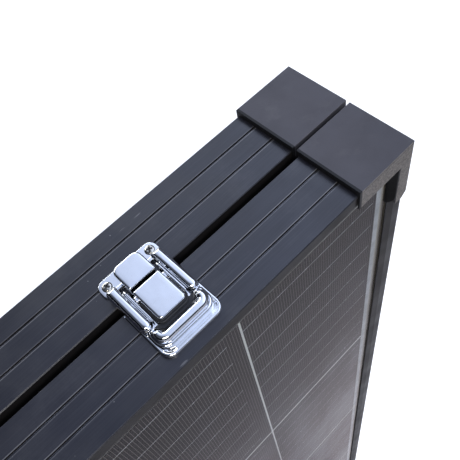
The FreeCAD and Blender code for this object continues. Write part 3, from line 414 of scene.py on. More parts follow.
ZINC = metal("zinc", (0.62, 0.64, 0.67), 0.30, (0.40, 0.40, 0.38), None, 0.4)
BRIGHT_X = metal("bright_aluminium_x", (0.74, 0.75, 0.77), 0.26, (0.55, 0.55, 0.55), (0.012, 1, 1), 0.3)
SILICON = silicon()
GLASS = front_glass()
SHEET = backsheet()
TINNED = tinned()
FOAM = soft_foam()
LCD = display()
INK = moulded("display_segments", (0.012, 0.018, 0.012), (0.02, 0.026, 0.02), 0.4, 0.2, None, 0.01)


# ---------------------------------------------------------------- mesh code

def polar(radius, angle, cx=0.0, cy=0.0):
    return cx + radius * math.cos(angle), cy + radius * math.sin(angle)


def circle(radius, count, cx=0.0, cy=0.0):
    return [polar(radius, 2 * math.pi * k / count, cx, cy) for k in range(count)]


def rounded(cx, cy, hx, hy, radii, steps):
    """Outline of a rounded rectangle; radii are for the corners (+,+), (-,+), (-,-), (+,-)."""
    if not isinstance(radii, (tuple, list)):
        radii = (radii,) * 4
    points = []
    for (sx, sy, start), radius in zip(((1, 1, 0), (-1, 1, 90), (-1, -1, 180), (1, -1, 270)), radii):
        r = max(min(radius, hx, hy), 0.02)
        for k in range(steps + 1):
            angle = math.radians(start + 90 * k / steps)
            points.append(polar(r, angle, cx + sx * (hx - r), cy + sy * (hy - r)))
    return points


def ease(value, low, high):
    t = min(max((value - low) / (high - low), 0.0), 1.0)
    return t * t * (3 - 2 * t)


def add_object(name, data):
    """A new object, linked to the scene."""
    made = bpy.data.objects.new(name, data)
    bpy.context.scene.collection.objects.link(made)
    return made


def add_modifier(piece, name, kind, **settings):
    mod = piece.modifiers.new(name, kind)
    for key, value in settings.items():
        setattr(mod, key, value)


class Shape:
    """Closed shells gathered into one piece; place turns local millimetres into frame millimetres."""

    def __init__(self, place=None):
        self.points = []
        self.faces = []
        self.place = place or (lambda a, b, c: (a, b, c))

    def rings(self, rings, closed=False):
        """Skin through equal closed rings of points, capped at both ends unless it closes on itself."""
        base = len(self.points)
        count = len(rings[0])
        for ring in rings:
            self.points += [self.place(*p) for p in ring]
        for i in range(len(rings) if closed else len(rings) - 1):
            for j in range(count):
                a = base + i * count + j
                b = base + i * count + (j + 1) % count
                c = base + ((i + 1) % len(rings)) * count + (j + 1) % count
                d = base + ((i + 1) % len(rings)) * count + j
                self.faces.append((a, b, c, d))
        if not closed:
            self.faces.append(tuple(reversed(range(base, base + count))))
            self.faces.append(tuple(range(base + (len(rings) - 1) * count, base + len(rings) * count)))
        return self

    def plate(self, cx, cy, hx, hy, radii, levels, lift=None, steps=5):
        """Rounded plate from (inset, height) levels; lift(x, y, height) may reshape its top."""
        rings = []
        for inset, height in levels:
            if isinstance(radii, (tuple, list)):
                turned = [max(r - inset, 0.15) for r in radii]
            else:
                turned = max(radii - inset, 0.15)
            ring = rounded(cx, cy, hx - inset, hy - inset, turned, steps)
            rings.append([(x, y, lift(x, y, height) if lift else height) for x, y in ring])
        return self.rings(rings)

    def lathe(self, cx, cy, levels, count=32, lift=None):
        """Turned shape about the local third axis from (radius, height) levels."""
        rings = []
        for radius, height in levels:
            rings.append([(cx + x, cy + y, lift(x, y, height) if lift else height)
                          for x, y in circle(radius, count)])
        return self.rings(rings)

    def relief(self, cx, cy, hx, hy, radii, bottom, height, rings):
        """Solid on a rounded rectangle whose top follows height(a, b)."""
        outline = []
        corners = rounded(cx, cy, hx, hy, radii, 9)
        for (a0, b0), (a1, b1) in zip(corners, corners[1:] + corners[:1]):
            pieces = max(1, int(math.hypot(a1 - a0, b1 - b0) / 0.6))
            outline += [(a0 + (a1 - a0) * k / pieces, b0 + (b1 - b0) * k / pieces) for k in range(pieces)]
        skins = [[(a, b, bottom) for a, b in outline]]
        for ring in range(rings):
            scale = 1.0 - (ring / rings) ** 1.5
            shrunk = [(cx + (a - cx) * scale, cy + (b - cy) * scale) for a, b in outline]
            skins.append([(a, b, height(a, b)) for a, b in shrunk])
        return self.rings(skins)

    def extrude(self, outline, c0, c1):
        """Prism of an (a, b) outline between two third coordinates."""
        return self.rings([[(a, b, c) for a, b in outline] for c in (c0, c1)])

    def tube(self, path, radius, count=12, closed=False):
        """Round tube along a path of points; radius may be a list."""
        points = [Vector(p) for p in path]
        radii = radius if isinstance(radius, (list, tuple)) else [radius] * len(points)
        rings = []
        side = None
        for i, point in enumerate(points):
            before = points[i - 1] if i or closed else point
            after = points[(i + 1) % len(points)] if i + 1 < len(points) or closed else point
            ahead = (after - before).normalized()
            if side is None:
                side = ahead.orthogonal().normalized()
            side = (side - ahead * side.dot(ahead)).normalized()
            other = ahead.cross(side)
            rings.append([tuple(point + (side * cos + other * sin) * radii[i])
                          for cos, sin in circle(1.0, count)])
        return self.rings(rings, closed)

    def make(self, name, surface, body=None, replaces=(), slot=None, sharp=48):
        """One piece from the shells; edges that turn by more than the sharp angle stay crisp."""
        mesh = bpy.data.meshes.new(name)
        mesh.from_pydata([(a * MM, b * MM, c * MM) for a, b, c in self.points], [], self.faces)
        work = bmesh.new()
        work.from_mesh(mesh)
        bmesh.ops.recalc_face_normals(work, faces=work.faces)
        work.to_mesh(mesh)
        work.free()
        for polygon in mesh.polygons:
            polygon.use_smooth = True
        mesh.materials.append(surface)
        mesh.set_sharp_from_angle(angle=math.radians(sharp))
        piece = add_object(name, mesh)
        add_modifier(piece, "normals", "WEIGHTED_NORMAL", keep_sharp=True)
        if body:
            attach(piece, body)
        if replaces:
            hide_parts(*replaces)
        return piece


def catmull(points, steps=8):
    """Smooth path through points."""
    points = [Vector(p) for p in points]
    path = []
    for i in range(len(points) - 1):
        a = points[max(i - 1, 0)]
        b, c = points[i], points[i + 1]
        d = points[min(i + 2, len(points) - 1)]
        for k in range(steps):
            t = k / steps
            path.append(0.5 * (2 * b + (c - a) * t + (2 * a - 5 * b + 4 * c - d) * t * t
                               + (3 * b - a - 3 * c + d) * t ** 3))
    return path + [points[-1]]


def shade_group():
    """Geometry node group that smooths a CAD mesh's shading after its bevel."""
    group = bpy.data.node_groups.new("smooth_shading", "GeometryNodeTree")
    group.interface.new_socket("Geometry", in_out="INPUT", socket_type="NodeSocketGeometry")
    group.interface.new_socket("Geometry", in_out="OUTPUT", socket_type="NodeSocketGeometry")
    start = group.nodes.new("NodeGroupInput")
    shade = group.nodes.new("GeometryNodeSetShadeSmooth")
    end = group.nodes.new("NodeGroupOutput")
    group.links.new(start.outputs[0], shade.inputs[0])
    group.links.new(shade.outputs[0], end.inputs[0])
    return group


SMOOTH = shade_group()


def dress(node, surface, bevel=0.0, flat=False):
    """Gives a CAD node its material, and rounds its sharp edges; long flat profiles keep flat shading."""
    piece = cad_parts[node]
    if not piece.material_slots:
        piece.data.materials.append(surface)
    for slot in piece.material_slots:
        slot.material = surface
    if not bevel:
        return
    add_modifier(piece, "weld", "WELD", merge_threshold=0.002 * MM)
    if flat:
        add_modifier(piece, "merge", "DECIMATE", decimate_type="DISSOLVE", angle_limit=math.radians(1.0))
    add_modifier(piece, "bevel", "BEVEL", width=bevel * MM, segments=3, limit_method="ANGLE",
                 angle_limit=math.radians(32), use_clamp_overlap=True)
    if not flat:
        add_modifier(piece, "smooth", "NODES", node_group=SMOOTH)
        add_modifier(piece, "normals", "WEIGHTED_NORMAL", keep_sharp=True)


# ---------------------------------------------------------------- frames and laminate

RAILS = {"top": RAIL_X, "bottom": RAIL_X, "left": RAIL_Z, "right": RAIL_Z}
PANEL_LOOKS = {
    "corner_keys": (ZINC, 0.2), "corner_caps": (CAP, 0.45), "glass": (GLASS, 0.0), "cells": (SILICON, 0.0),
    "bus_ribbons": (TINNED, 0.0), "backsheet": (SHEET, 0.0), "edge_seal": (RUBBER, 0.0),
    "feet": (RUBBER, 0.5), "hinge_leaves": (ZINC, 0.2), "hinge_screws": (ZINC, 0.1), "leg": (BRIGHT_X, 0.4),
    "leg_bracket": (ZINC, 0.25), "leg_knob": (BLACK, 0.6), "leg_foot": (RUBBER, 0.5),
    "junction_box": (BLACK, 0.5), "lead": (JACKET, 0.0)}
SINGLE_LOOKS = {
    "hinge_pins": (ZINC, 0.2), "latch_bases": (CHROME, 0.3), "latch_keepers": (CHROME, 0.3),
    "left_latch_lever": (CHROME, 0.3), "right_latch_lever": (CHROME, 0.3), "left_latch_bail": (CHROME, 0.3),
    "right_latch_bail": (CHROME, 0.3), "latch_pins": (CHROME, 0.2), "keeper_screws": (NICKEL, 0.1),
    "latch_rivets": (CHROME, 0.1), "handle_bow": (BLACK, 0.6), "handle_grip": (FOAM, 0.6),
    "handle_brackets": (BLACK, 0.5), "handle_screws": (ZINC, 0.3), "controller_housing": (SHELL, 0.4),
    "controller_cover": (COVER, 0.3), "controller_screen": (LCD, 0.0), "controller_button": (BUTTON, 0.4),
    "controller_screws": (ZINC, 0.1), "output_lead": (JACKET, 0.0)}
for side in ("front", "rear"):
    for rail, surface in RAILS.items():
        dress(f"{side}_{rail}_rail", surface, 0.16, flat=True)
    for node, (surface, bevel) in PANEL_LOOKS.items():
        dress(f"{side}_{node}", surface, bevel)
for node, (surface, bevel) in SINGLE_LOOKS.items():
    dress(node, surface, bevel)


WIRE_HALF = 0.16
DOTS_PER_CELL, DOT_PITCH = 6, 15.0


def busbars(mirror):
    """Nine soldered wires across every cell, with their solder dots."""
    rng = random.Random(7)
    wires = Shape(lambda a, b, c: (a, mirror * b, c))
    dots = Shape(lambda a, b, c: (a, mirror * b, c))
    face = CELLS_LOW.y
    for column in range(COLUMNS):
        x0 = CELLS_LOW.x + column * COLUMN_PITCH
        x1 = x0 + CELL_WIDTH - (4.0 if column == COLUMNS - 1 else 9.5)
        for row in range(ROWS):
            for k in range(BUSBARS):
                z = CELLS_LOW.z + row * ROW_PITCH + CELL_HEIGHT * (k + 0.5) / BUSBARS
                z += rng.uniform(-0.15, 0.15)
                run = [(x0 - 1.2, face - 0.12), (x0 + 1.0, face - 0.14), (x1, face - 0.14),
                       (x1 + 1.5, face - 0.03)]
                wires.rings([[(x, y, z - WIRE_HALF), (x, y - 0.1, z), (x, y, z + WIRE_HALF), (x, y + 0.05, z)]
                             for x, y in run])
                for d in range(DOTS_PER_CELL):
                    x = x0 + 6.5 + DOT_PITCH * d + rng.uniform(-1.6, 1.6)
                    if x > x1 - 1:
                        continue
                    long, wide = rng.uniform(0.5, 1.1), rng.uniform(0.26, 0.42)
                    ring = [(x - long, z), (x, z - wide), (x + long, z), (x, z + wide)]
                    dots.rings([[(a, face - 0.10, c) for a, c in ring],
                                [(x + (a - x) * 0.5, face - 0.22, z + (c - z) * 0.5) for a, c in ring]])
    return wires, dots


for side, mirror in (("front", 1), ("rear", -1)):
    wires, dots = busbars(mirror)
    wires.make(side + "_busbar_wires", TINNED, side + "_panel", slot="tinned_ribbon")
    dots.make(side + "_solder_dots", TINNED, side + "_panel", slot="tinned_ribbon")


# ---------------------------------------------------------------- latches

# Latch places are back from the lip, up from the rails, or out from the latch's own middle.
LEVER_PIVOT = (30.7, 3.2)
BAIL_PIVOT = (22.7, 2.4)
FLANGE_HALF, FLANGE_FLOOR, EAR_RADIUS = (14.5, 13.6), 0.95, 1.9
RIDGE_ENDS, RIDGE_HALF, RIDGE_CORNER, SCOOP_FLOOR = (9.0, 17.4), 12.9, 4.6, 2.0
PAD_ENDS, TONGUE_ENDS, PAD_HALF = (16.9, 33.0), (34.75, 46.7), 6.6
CHEEK_FRONT, CHEEK_TOP, PIN_WRAP = BAIL_PIVOT[0] - 1.6, 5.2, 1.35
ARM_ENDS, ARM_HALF, ARMS_OUT = (17.7, 41.9), 2.6, 14.1
BEAD_POINTS, BEAD_RADIUS = 20, 0.62
KEEPER_SCREW_BACK, KEEPER_SCREW_SEAT, KEEPER_CROSS_SEAT = 45.3, 0.95, 1.55
KEEPER_SCREW_RADIUS, KEEPER_SCREW_HEIGHT = 2.2, 0.95


def between(near, far):
    """Middle and half of a stretch."""
    return (near + far) / 2, (far - near) / 2


def latch_place(x):
    """Local (across, back from the lip, up from the rails) at a latch."""
    return lambda a, b, c: (x + a, FRONT_Y + b, TOP_Z + c)


def latch_side_place(x):
    """Local (back, up, across), for outlines seen from the side."""
    return lambda a, b, c: (x + c, FRONT_Y + a, TOP_Z + b)


def round_over(depth, reach, power=2.4):
    """0 to 1 over a rounded edge of the given reach."""
    t = min(max(depth / reach, 0.0), 1.0)
    return (1 - (1 - t) ** power) ** (1 / power)


def add_base(shape, x):
    """Flange with a rolled rim, a raised step inside it, and the two ears that hold the lever's pin."""
    shape.place = latch_place(x)
    levels = [(0.25, 0.0), (0.0, 0.25), (0.0, 1.0), (0.12, 1.45), (0.4, 1.8), (0.8, 1.95), (1.2, 1.85),
              (1.55, 1.5), (1.9, 1.15), (2.4, 1.0), (3.2, FLANGE_FLOOR)]

    def rim(a, b, c):
        return c if c < FLANGE_FLOOR else FLANGE_FLOOR + (c - FLANGE_FLOOR) * (1 - ease(b, 13.5, 17.5))
    shape.plate(0, 18.3, *FLANGE_HALF, (2.0, 2.0, 4.4, 4.4), levels, rim, 8)
    step = [(0.0, 0.9), (0.0, 1.2), (0.15, 1.5), (0.45, 1.65), (1.2, 1.68)]
    shape.plate(0, 18.6, 12.2, 11.6, (1.5, 1.5, 3.6, 3.6), step, None, 7)
    shape.place = latch_side_place(x)
    back, up = LEVER_PIVOT
    outline = [(back - EAR_RADIUS, 0.5), (back + 1.2, 0.5)]
    outline += [polar(EAR_RADIUS, math.pi * k / 12, back, up) for k in range(13)]
    for side in (-1, 1):
        shape.extrude(outline, side * 6.45, side * 7.4)


def add_lever(shape, x):
    """Ridge that wraps the near corners, scoop behind it, square pad, and the cheeks that carry the pins."""
    shape.place = latch_place(x)
    near, far = RIDGE_ENDS

    def ridge(a, b):
        across = abs(a) - RIDGE_HALF + RIDGE_CORNER
        along = near + RIDGE_CORNER - b
        past_centre = min(max(across, along), 0) + math.hypot(max(across, 0), max(along, 0))
        inside = RIDGE_CORNER - past_centre
        crest = 2.1 + 3.9 * round_over(inside, 2.3)
        crest -= 2.9 * ease(inside, 2.5, 6.6)
        return max(crest - 2.4 * ease(b, 14.2, far), SCOOP_FLOOR)
    back, reach = between(near, far)
    radii = (0.8, 0.8, RIDGE_CORNER, RIDGE_CORNER)
    shape.relief(0, back, RIDGE_HALF, reach, radii, 1.75, ridge, 34)
    skirt = [(-0.1, 1.75), (-0.55, 1.85), (-0.7, 2.05), (-0.6, 2.3), (-0.25, 2.6), (0.3, 2.8), (0.9, 2.85)]
    shape.plate(0, back, RIDGE_HALF, reach, radii, skirt, None, 9)
    back, reach = between(*PAD_ENDS)
    crown = [(0.12, 5.2), (0.0, 5.35), (0.0, 5.8), (0.1, 6.05), (0.3, 6.25), (0.6, 6.36), (1.0, 6.4),
             (2.4, 6.42)]
    shape.plate(0, back, PAD_HALF, reach, (0.7, 0.7, 1.7, 1.7), crown)
    shape.place = latch_side_place(x)
    back, up = LEVER_PIVOT
    nose = [polar(PIN_WRAP, math.radians(angle), back, up) for angle in range(-90, 61, 15)]
    cheek = [(CHEEK_FRONT, 1.4), (back - 1.5, 1.4)] + nose
    cheek += [(back + PIN_WRAP, CHEEK_TOP), (CHEEK_FRONT, CHEEK_TOP)]
    for side in (-1, 1):
        shape.extrude(cheek, side * 5.0, side * 6.15)


def add_pad_shade(shape, x):
    """Black stepped plates under the lever's square pad and on the floor of the scoop in front of it: painted
    shade and painted dark reflection.
    """
    shape.place = latch_place(x)
    shape.plate(0, 16.2, 12.2, 1.4, 1.2, [(0.0, 2.0), (0.0, 2.9), (0.2, 3.1), (0.6, 3.15)], None, 6)
    lower = [(0.2, 2.9), (0.0, 3.2), (0.0, 3.7), (0.2, 3.95), (0.6, 4.05)]
    upper = [(0.0, 4.0), (0.0, 4.9), (0.15, 5.15), (0.4, 5.25), (1.0, 5.25)]
    for half, near, corner, levels in ((7.6, 15.9, 2.8, lower), (7.2, 16.4, 2.3, upper)):
        back, reach = between(near, LEVER_PIVOT[0] - 2.1)
        shape.plate(0, back, half, reach, (0.6, 0.6, corner, corner), levels)


def add_bail(shape, x):
    """Two pressed side arms with rounded tops and inner beads, their pins and the crossbar."""
    shape.place = latch_place(x)
    near, far = ARM_ENDS
    back, reach = between(near, far)
    for side in (-1, 1):
        middle = side * (ARMS_OUT - ARM_HALF)

        def arm(a, b, middle=middle):
            across = ARM_HALF - abs(a - middle)
            depth = min(across, (b - near) * 0.8 + 0.001, (far - b) * 0.8 + 0.001)
            if b < near + ARM_HALF:
                depth = ARM_HALF - math.hypot(a - middle, b - near - ARM_HALF)
            return 2.6 + 2.95 * round_over(max(depth, 0.0), ARM_HALF * 0.85, 2.2)
        far_radii = (2.4, 1.2) if side > 0 else (1.2, 2.4)
        shape.relief(middle, back, ARM_HALF, reach, (*far_radii, ARM_HALF, ARM_HALF), 1.85, arm, 16)
        bead = [(side * 8.3, 20.0 + 0.9 * k, 3.75) for k in range(BEAD_POINTS)]
        shape.tube(bead, [0.2, 0.5] + [BEAD_RADIUS] * (BEAD_POINTS - 4) + [0.5, 0.2], 12)
        shape.tube([(side * 5.2, *BAIL_PIVOT), (side * 9.2, *BAIL_PIVOT)], 0.9, 16)
    crossbar = [(0.15, 1.3), (0.0, 1.45), (0.0, 1.95), (0.15, 2.1), (0.4, 2.1)]
    shape.plate(0, 41.25, 9.6, 0.75, 0.3, crossbar, None, 3)


def add_keeper(shape, x):
    """Screwed plate with dished ears, and the raised tongue the bail hooks under."""
    shape.place = latch_place(x)
    levels = [(0.2, 0.0), (0.0, 0.2), (0.0, 0.65), (0.15, 0.9), (0.45, 1.0), (1.5, 1.0), (2.4, 1.0)]
    shape.plate(0, 45.2, 14.6, 4.0, (3.6, 3.6, 1.6, 1.6), levels, None, 7)
    shape.plate(0, 39.2, 6.2, 4.1, 0.4, [(0.1, 0.0), (0.0, 0.1), (0.0, 0.9), (0.2, 1.0), (0.6, 1.0)])
    crown = [(0.15, 5.25), (0.0, 5.4), (0.0, 5.75), (0.12, 6.05), (0.4, 6.28), (0.8, 6.38), (1.3, 6.4),
             (2.6, 6.42)]
    back, reach = between(*TONGUE_ENDS)
    shape.plate(0, back, PAD_HALF, reach, (3.2, 3.2, 1.0, 1.0), crown, None, 7)
    for back, half in ((35.7, 0.6), (39.65, 0.7)):
        shape.plate(0, back, 6.1, half, 0.3, [(0.0, 0.3), (0.0, 5.3), (0.1, 5.5)], None, 3)


def add_cross_screw(shape, place, radius, height, cross, turn):
    """Domed screw head with a cross recess."""
    shape.place = place

    def recess(a, b, c):
        along = a * math.cos(turn) + b * math.sin(turn)
        other = -a * math.sin(turn) + b * math.cos(turn)
        reach = math.hypot(a, b)
        if reach < radius * 0.62 and min(abs(along), abs(other)) < cross * 0.62:
            return c - height * 0.75 * (1 - 0.6 * reach / radius)
        return c
    dome = [(1.0, 0.3), (0.93, 0.6), (0.8, 0.82), (0.64, 0.95), (0.6, 0.96)]
    dome += [(out, 1.0) for out in (0.5, 0.38, 0.26, 0.14, 0.05)]
    levels = [(radius * 0.9, 0.0), (radius, 0.05)] + [(radius * out, height * up) for out, up in dome]
    shape.lathe(0, 0, levels, 48, recess)


def add_cross(shape, place, turn, reach, half, corner, levels):
    """Black blades in a screw's cross recess: painted shade for the recess."""
    for quarter in (0, 1):
        cos, sin = polar(1.0, turn + quarter * math.pi / 2)
        shape.place = lambda a, b, c, cos=cos, sin=sin: place(a * cos - b * sin, a * sin + b * cos, c)
        shape.plate(0, 0, reach, half, corner, levels, None, 2)


def raised(x, y, z):
    """Local (across, back, up) about a point on the rails."""
    return lambda a, b, c: (x + a, y + b, z + c)


base_shape, keeper_shape, screw_shape, cross_shade_shape = Shape(), Shape(), Shape(), Shape()
for side in ("left", "right"):
    x = middle_mm(side + "_latch_bail")[0][0]
    lever_shape, bail_shape, pad_shade_shape = Shape(), Shape(), Shape()
    add_pad_shade(pad_shade_shape, x)
    add_base(base_shape, x)
    add_keeper(keeper_shape, x)
    add_lever(lever_shape, x)
    add_bail(bail_shape, x)
    lever, bail = side + "_lever", side + "_bail"
    lever_shape.make(lever + "_pressing", CHROME, lever, (side + "_latch_lever",), "chrome_plate")
    # Painted shade and dark reflection: black plates around the pad.
    pad_shade_shape.make(side + "_pad_shade", BLACK, lever, slot="black_plastic")
    bail_shape.make(bail + "_pressing", CHROME, bail, (side + "_latch_bail",), "chrome_plate")
    for ear, turn in ((-11.0, 0.5), (11.0, 1.1)):
        at = (x + ear, FRONT_Y + KEEPER_SCREW_BACK)
        head = raised(*at, TOP_Z + KEEPER_SCREW_SEAT)
        add_cross_screw(screw_shape, head, KEEPER_SCREW_RADIUS, KEEPER_SCREW_HEIGHT, 0.55, turn)
        blade = [(0.0, -0.2), (0.0, 0.38), (0.05, 0.4)]
        add_cross(cross_shade_shape, raised(*at, TOP_Z + KEEPER_CROSS_SEAT), turn, 1.25, 0.32, 0.12, blade)
base_shape.make("latch_base_pressings", CHROME, "front_panel", ("latch_bases",), "chrome_plate")
keeper_shape.make("latch_keeper_pressings", CHROME, "rear_panel", ("latch_keepers",), "chrome_plate")
screw_shape.make("keeper_screw_heads", NICKEL, "rear_panel", ("keeper_screws",), "nickel_screw", sharp=35)
# Painted shade: black blades in the keeper screws' cross recesses.
cross_shade_shape.make("keeper_screw_cross_shades", BLACK, "rear_panel", slot="nickel_screw")


# ---------------------------------------------------------------- corner cap tabs

def tab_place(side, mirror, top):
    edge = side * (HALF_LENGTH - 5.8)
    return lambda a, b, c: (edge - side * a, mirror * (FRONT_Y + c), MIDDLE_Z + (b if top else -b))


for side_name, mirror in (("front", 1), ("rear", -1)):
    tabs = Shape()
    for side in (-1, 1):
        for top in (True, False):
            tabs.place = tab_place(side, mirror, top)
            reach = TOP_Z - MIDDLE_Z

            def slope(a, b, c):
                return c + 1.6 * ease(a, 0.4, 5.2) if c < 0.6 else c
            levels = [(0.0, 1.95), (0.0, 0.2), (0.2, -0.35), (0.6, -0.7), (1.1, -0.85), (1.8, -0.9)]
            tabs.plate(2.55, reach - 20.3, 2.75, 11.6, (0.3, 0.3, 2.6, 2.6), levels, slope, 7)
    # The tabs are near black: painted shade.
    tabs.make(side_name + "_cap_tabs", TAB, side_name + "_panel", slot="corner_plastic")


# ---------------------------------------------------------------- handle and leg knobs

GRIP_RIBS, GRIP_SWELLS, PLAIN_END = 34, 4, 5.6


def handle_grip():
    """Soft sleeve with four finger swells and fine ribs between plain ends."""
    low, high = box_mm("handle_grip")
    (_, y, z), (_, _, radius) = middle_mm("handle_grip")
    length = high.x - low.x
    sleeve = Shape(lambda a, b, c: (low.x + c, y + a, z + b))
    levels = [(radius - 2.0, 0.0), (radius - 0.8, 0.25), (radius - 0.2, 1.0), (radius, 2.2), (radius, 5.0)]
    ribbed, rings = length - 2 * PLAIN_END, GRIP_RIBS * 4
    for k in range(rings + 1):
        along = PLAIN_END + ribbed * k / rings
        swell = 0.35 * math.cos(2 * math.pi * GRIP_SWELLS * (along - PLAIN_END) / ribbed)
        groove = 0.42 if k % 4 == 2 else 0.0
        levels.append((radius - 0.5 + swell - groove, along))
    levels += [(radius, length - 5.0), (radius, length - 2.2), (radius - 0.2, length - 1.0),
               (radius - 0.8, length - 0.25), (radius - 2.0, length)]
    sleeve.lathe(0, 0, levels, 40)
    return sleeve


handle_grip().make("handle_grip_sleeve", FOAM, "handle", ("handle_grip",), "soft_grip", sharp=70)

KNOB_LOBES, KNOB_LOBE, KNOB_POINTS = 7, 0.75, 84


def leg_knob(side):
    """Lobed clamping knob on its bolt, with a domed bolt head above the bracket."""
    low, high = box_mm(side + "_leg_knob")
    (x, y, _), (_, reach, _) = middle_mm(side + "_leg_knob")
    knob = Shape(lambda a, b, c: (x + a, y + b, low.z + c))
    rings = []
    profile = [(2.6, 0.0), (1.2, 0.35), (0.5, 1.0), (0.1, 2.2), (0.0, 4.0), (0.0, 8.6), (0.2, 10.0),
               (0.8, 11.0), (2.2, 11.6), (4.2, 11.8)]
    for inset, height in profile:
        ring = []
        for k in range(KNOB_POINTS):
            angle = 2 * math.pi * k / KNOB_POINTS
            lobe = KNOB_LOBE * math.cos(KNOB_LOBES * angle) * (1 - inset / 5)
            ring.append((*polar(reach - KNOB_LOBE - inset + lobe, angle), height))
        rings.append(ring)
    knob.rings(rings)
    knob.make(side + "_knob_grip", BLACK, side + "_knob", (side + "_leg_knob",), "black_plastic", sharp=60)
    bolt = Shape(knob.place)
    top = high.z - low.z
    bolt.lathe(0, 0, [(2.9, 11.5), (2.9, top - 4.4), (5.0, top - 4.3), (5.2, top - 4.0), (5.2, top - 2.4),
                      (4.6, top - 1.2), (3.2, top - 0.35), (1.2, top)], 28)
    bolt.lathe(0, 0, [(3.4, -0.02), (3.6, 0.15), (3.6, 0.7), (3.2, 1.0)], 24)
    bolt.make(side + "_knob_bolt", ZINC, side + "_knob", slot="zinc_steel")


leg_knob("front")
leg_knob("rear")


# ---------------------------------------------------------------- junction boxes and controller

def facing_back(y, mirror):
    """Local (along X, up, out of the cavity) on a face that looks at the other panel."""
    return lambda a, b, c: (a, mirror * (y + c), b)


LEAD_Y = -21.6
LEAD_RADIUS = 3.0
LID_INSET, LID_RIB_PITCH, GLAND_LENGTH = 2.6, 7.0, 10.0


def add_back_screw(heads, recess_shades, x, z, y, mirror, radius, turn):
    """Pan-head screw on a face that looks at the other panel, with black blades as painted shade for its
    cross recess.
    """
    heads.place = lambda a, b, c: (x + a, mirror * (y + c), z + b)
    heads.lathe(0, 0, [(radius * 0.92, -0.2), (radius, 0.05), (radius, 0.5), (radius * 0.9, 0.85),
                       (radius * 0.65, 1.08), (radius * 0.3, 1.15)], 24)
    blade = [(0.0, 0.6), (0.0, 1.18), (0.05, 1.2)]
    add_cross(recess_shades, heads.place, turn, radius * 0.55, radius * 0.13, 0.1, blade)


def junction_lid(side, mirror):
    """Ribbed lid with four screws, and the ribbed nut of the lead's gland."""
    body = side + "_panel"
    low, high = box_mm(side + "_junction_box")
    face = max(-abs(low.y), -abs(high.y))
    x, half_x = between(low.x + GLAND_LENGTH, high.x)
    z, half_z = between(low.z, high.z)
    lid = Shape(facing_back(face, mirror))
    levels = [(0.0, -0.4), (0.0, 0.9), (0.3, 1.25), (0.8, 1.4), (2.0, 1.4)]
    lid.plate(x, z, half_x - LID_INSET, half_z - LID_INSET, 4.0, levels)
    rib = [(0.0, 1.3), (0.0, 1.9), (0.4, 2.2), (0.9, 2.25)]
    for k in range(-4, 5):
        lid.plate(x + k * LID_RIB_PITCH, z, 1.3, half_z - 15.0, 1.2, rib, None, 4)
    lid.make(side + "_junction_lid", BLACK, body, slot="black_plastic")
    nut = Shape(lambda a, b, c: (low.x + 1.0 + c, mirror * (LEAD_Y + a), z + b))
    ribs = []
    for radius, along in ((4.2, -1.6), (5.4, -1.0), (6.0, 0.0), (6.0, 6.5), (5.6, 7.2)):
        ribs.append([(*polar(radius + 0.35 * (k % 2), math.pi * k / 18), along) for k in range(36)])
    nut.rings(ribs)
    nut.make(side + "_gland_nut", BLACK, body, slot="black_plastic")
    screws, recess_shades = Shape(), Shape()
    for sx in (-1, 1):
        for sz in (-1, 1):
            at_x, at_z = x + sx * (half_x - 7.5), z + sz * (half_z - 7.5)
            add_back_screw(screws, recess_shades, at_x, at_z, face + 1.4, mirror, 2.6, 0.4 + sx + 2 * sz)
    screws.make(side + "_junction_screws", ZINC, body, slot="zinc_steel")
    # Painted shade: black blades for the screws' cross recesses.
    recess_shades.make(side + "_junction_screw_shades", BLACK, body, slot="zinc_steel")


junction_lid("front", 1)
junction_lid("rear", -1)


BEZEL_HALF, BEZEL_LEVELS = 1.4, [(0.0, -0.3), (0.0, 0.5), (0.3, 0.8), (0.8, 0.9)]
SEGMENT_LEVELS = [(0.0, -0.1), (0.0, 0.08), (0.05, 0.1)]
VENTS, VENT_PITCH = 9, 7
TERMINALS, TERMINAL_PITCH, TERMINALS_UP = 6, 13, 9.5
BARS, BAR_PITCH, BAR_STEP = 5, 7, 1.1
LAMPS_OUT = 22


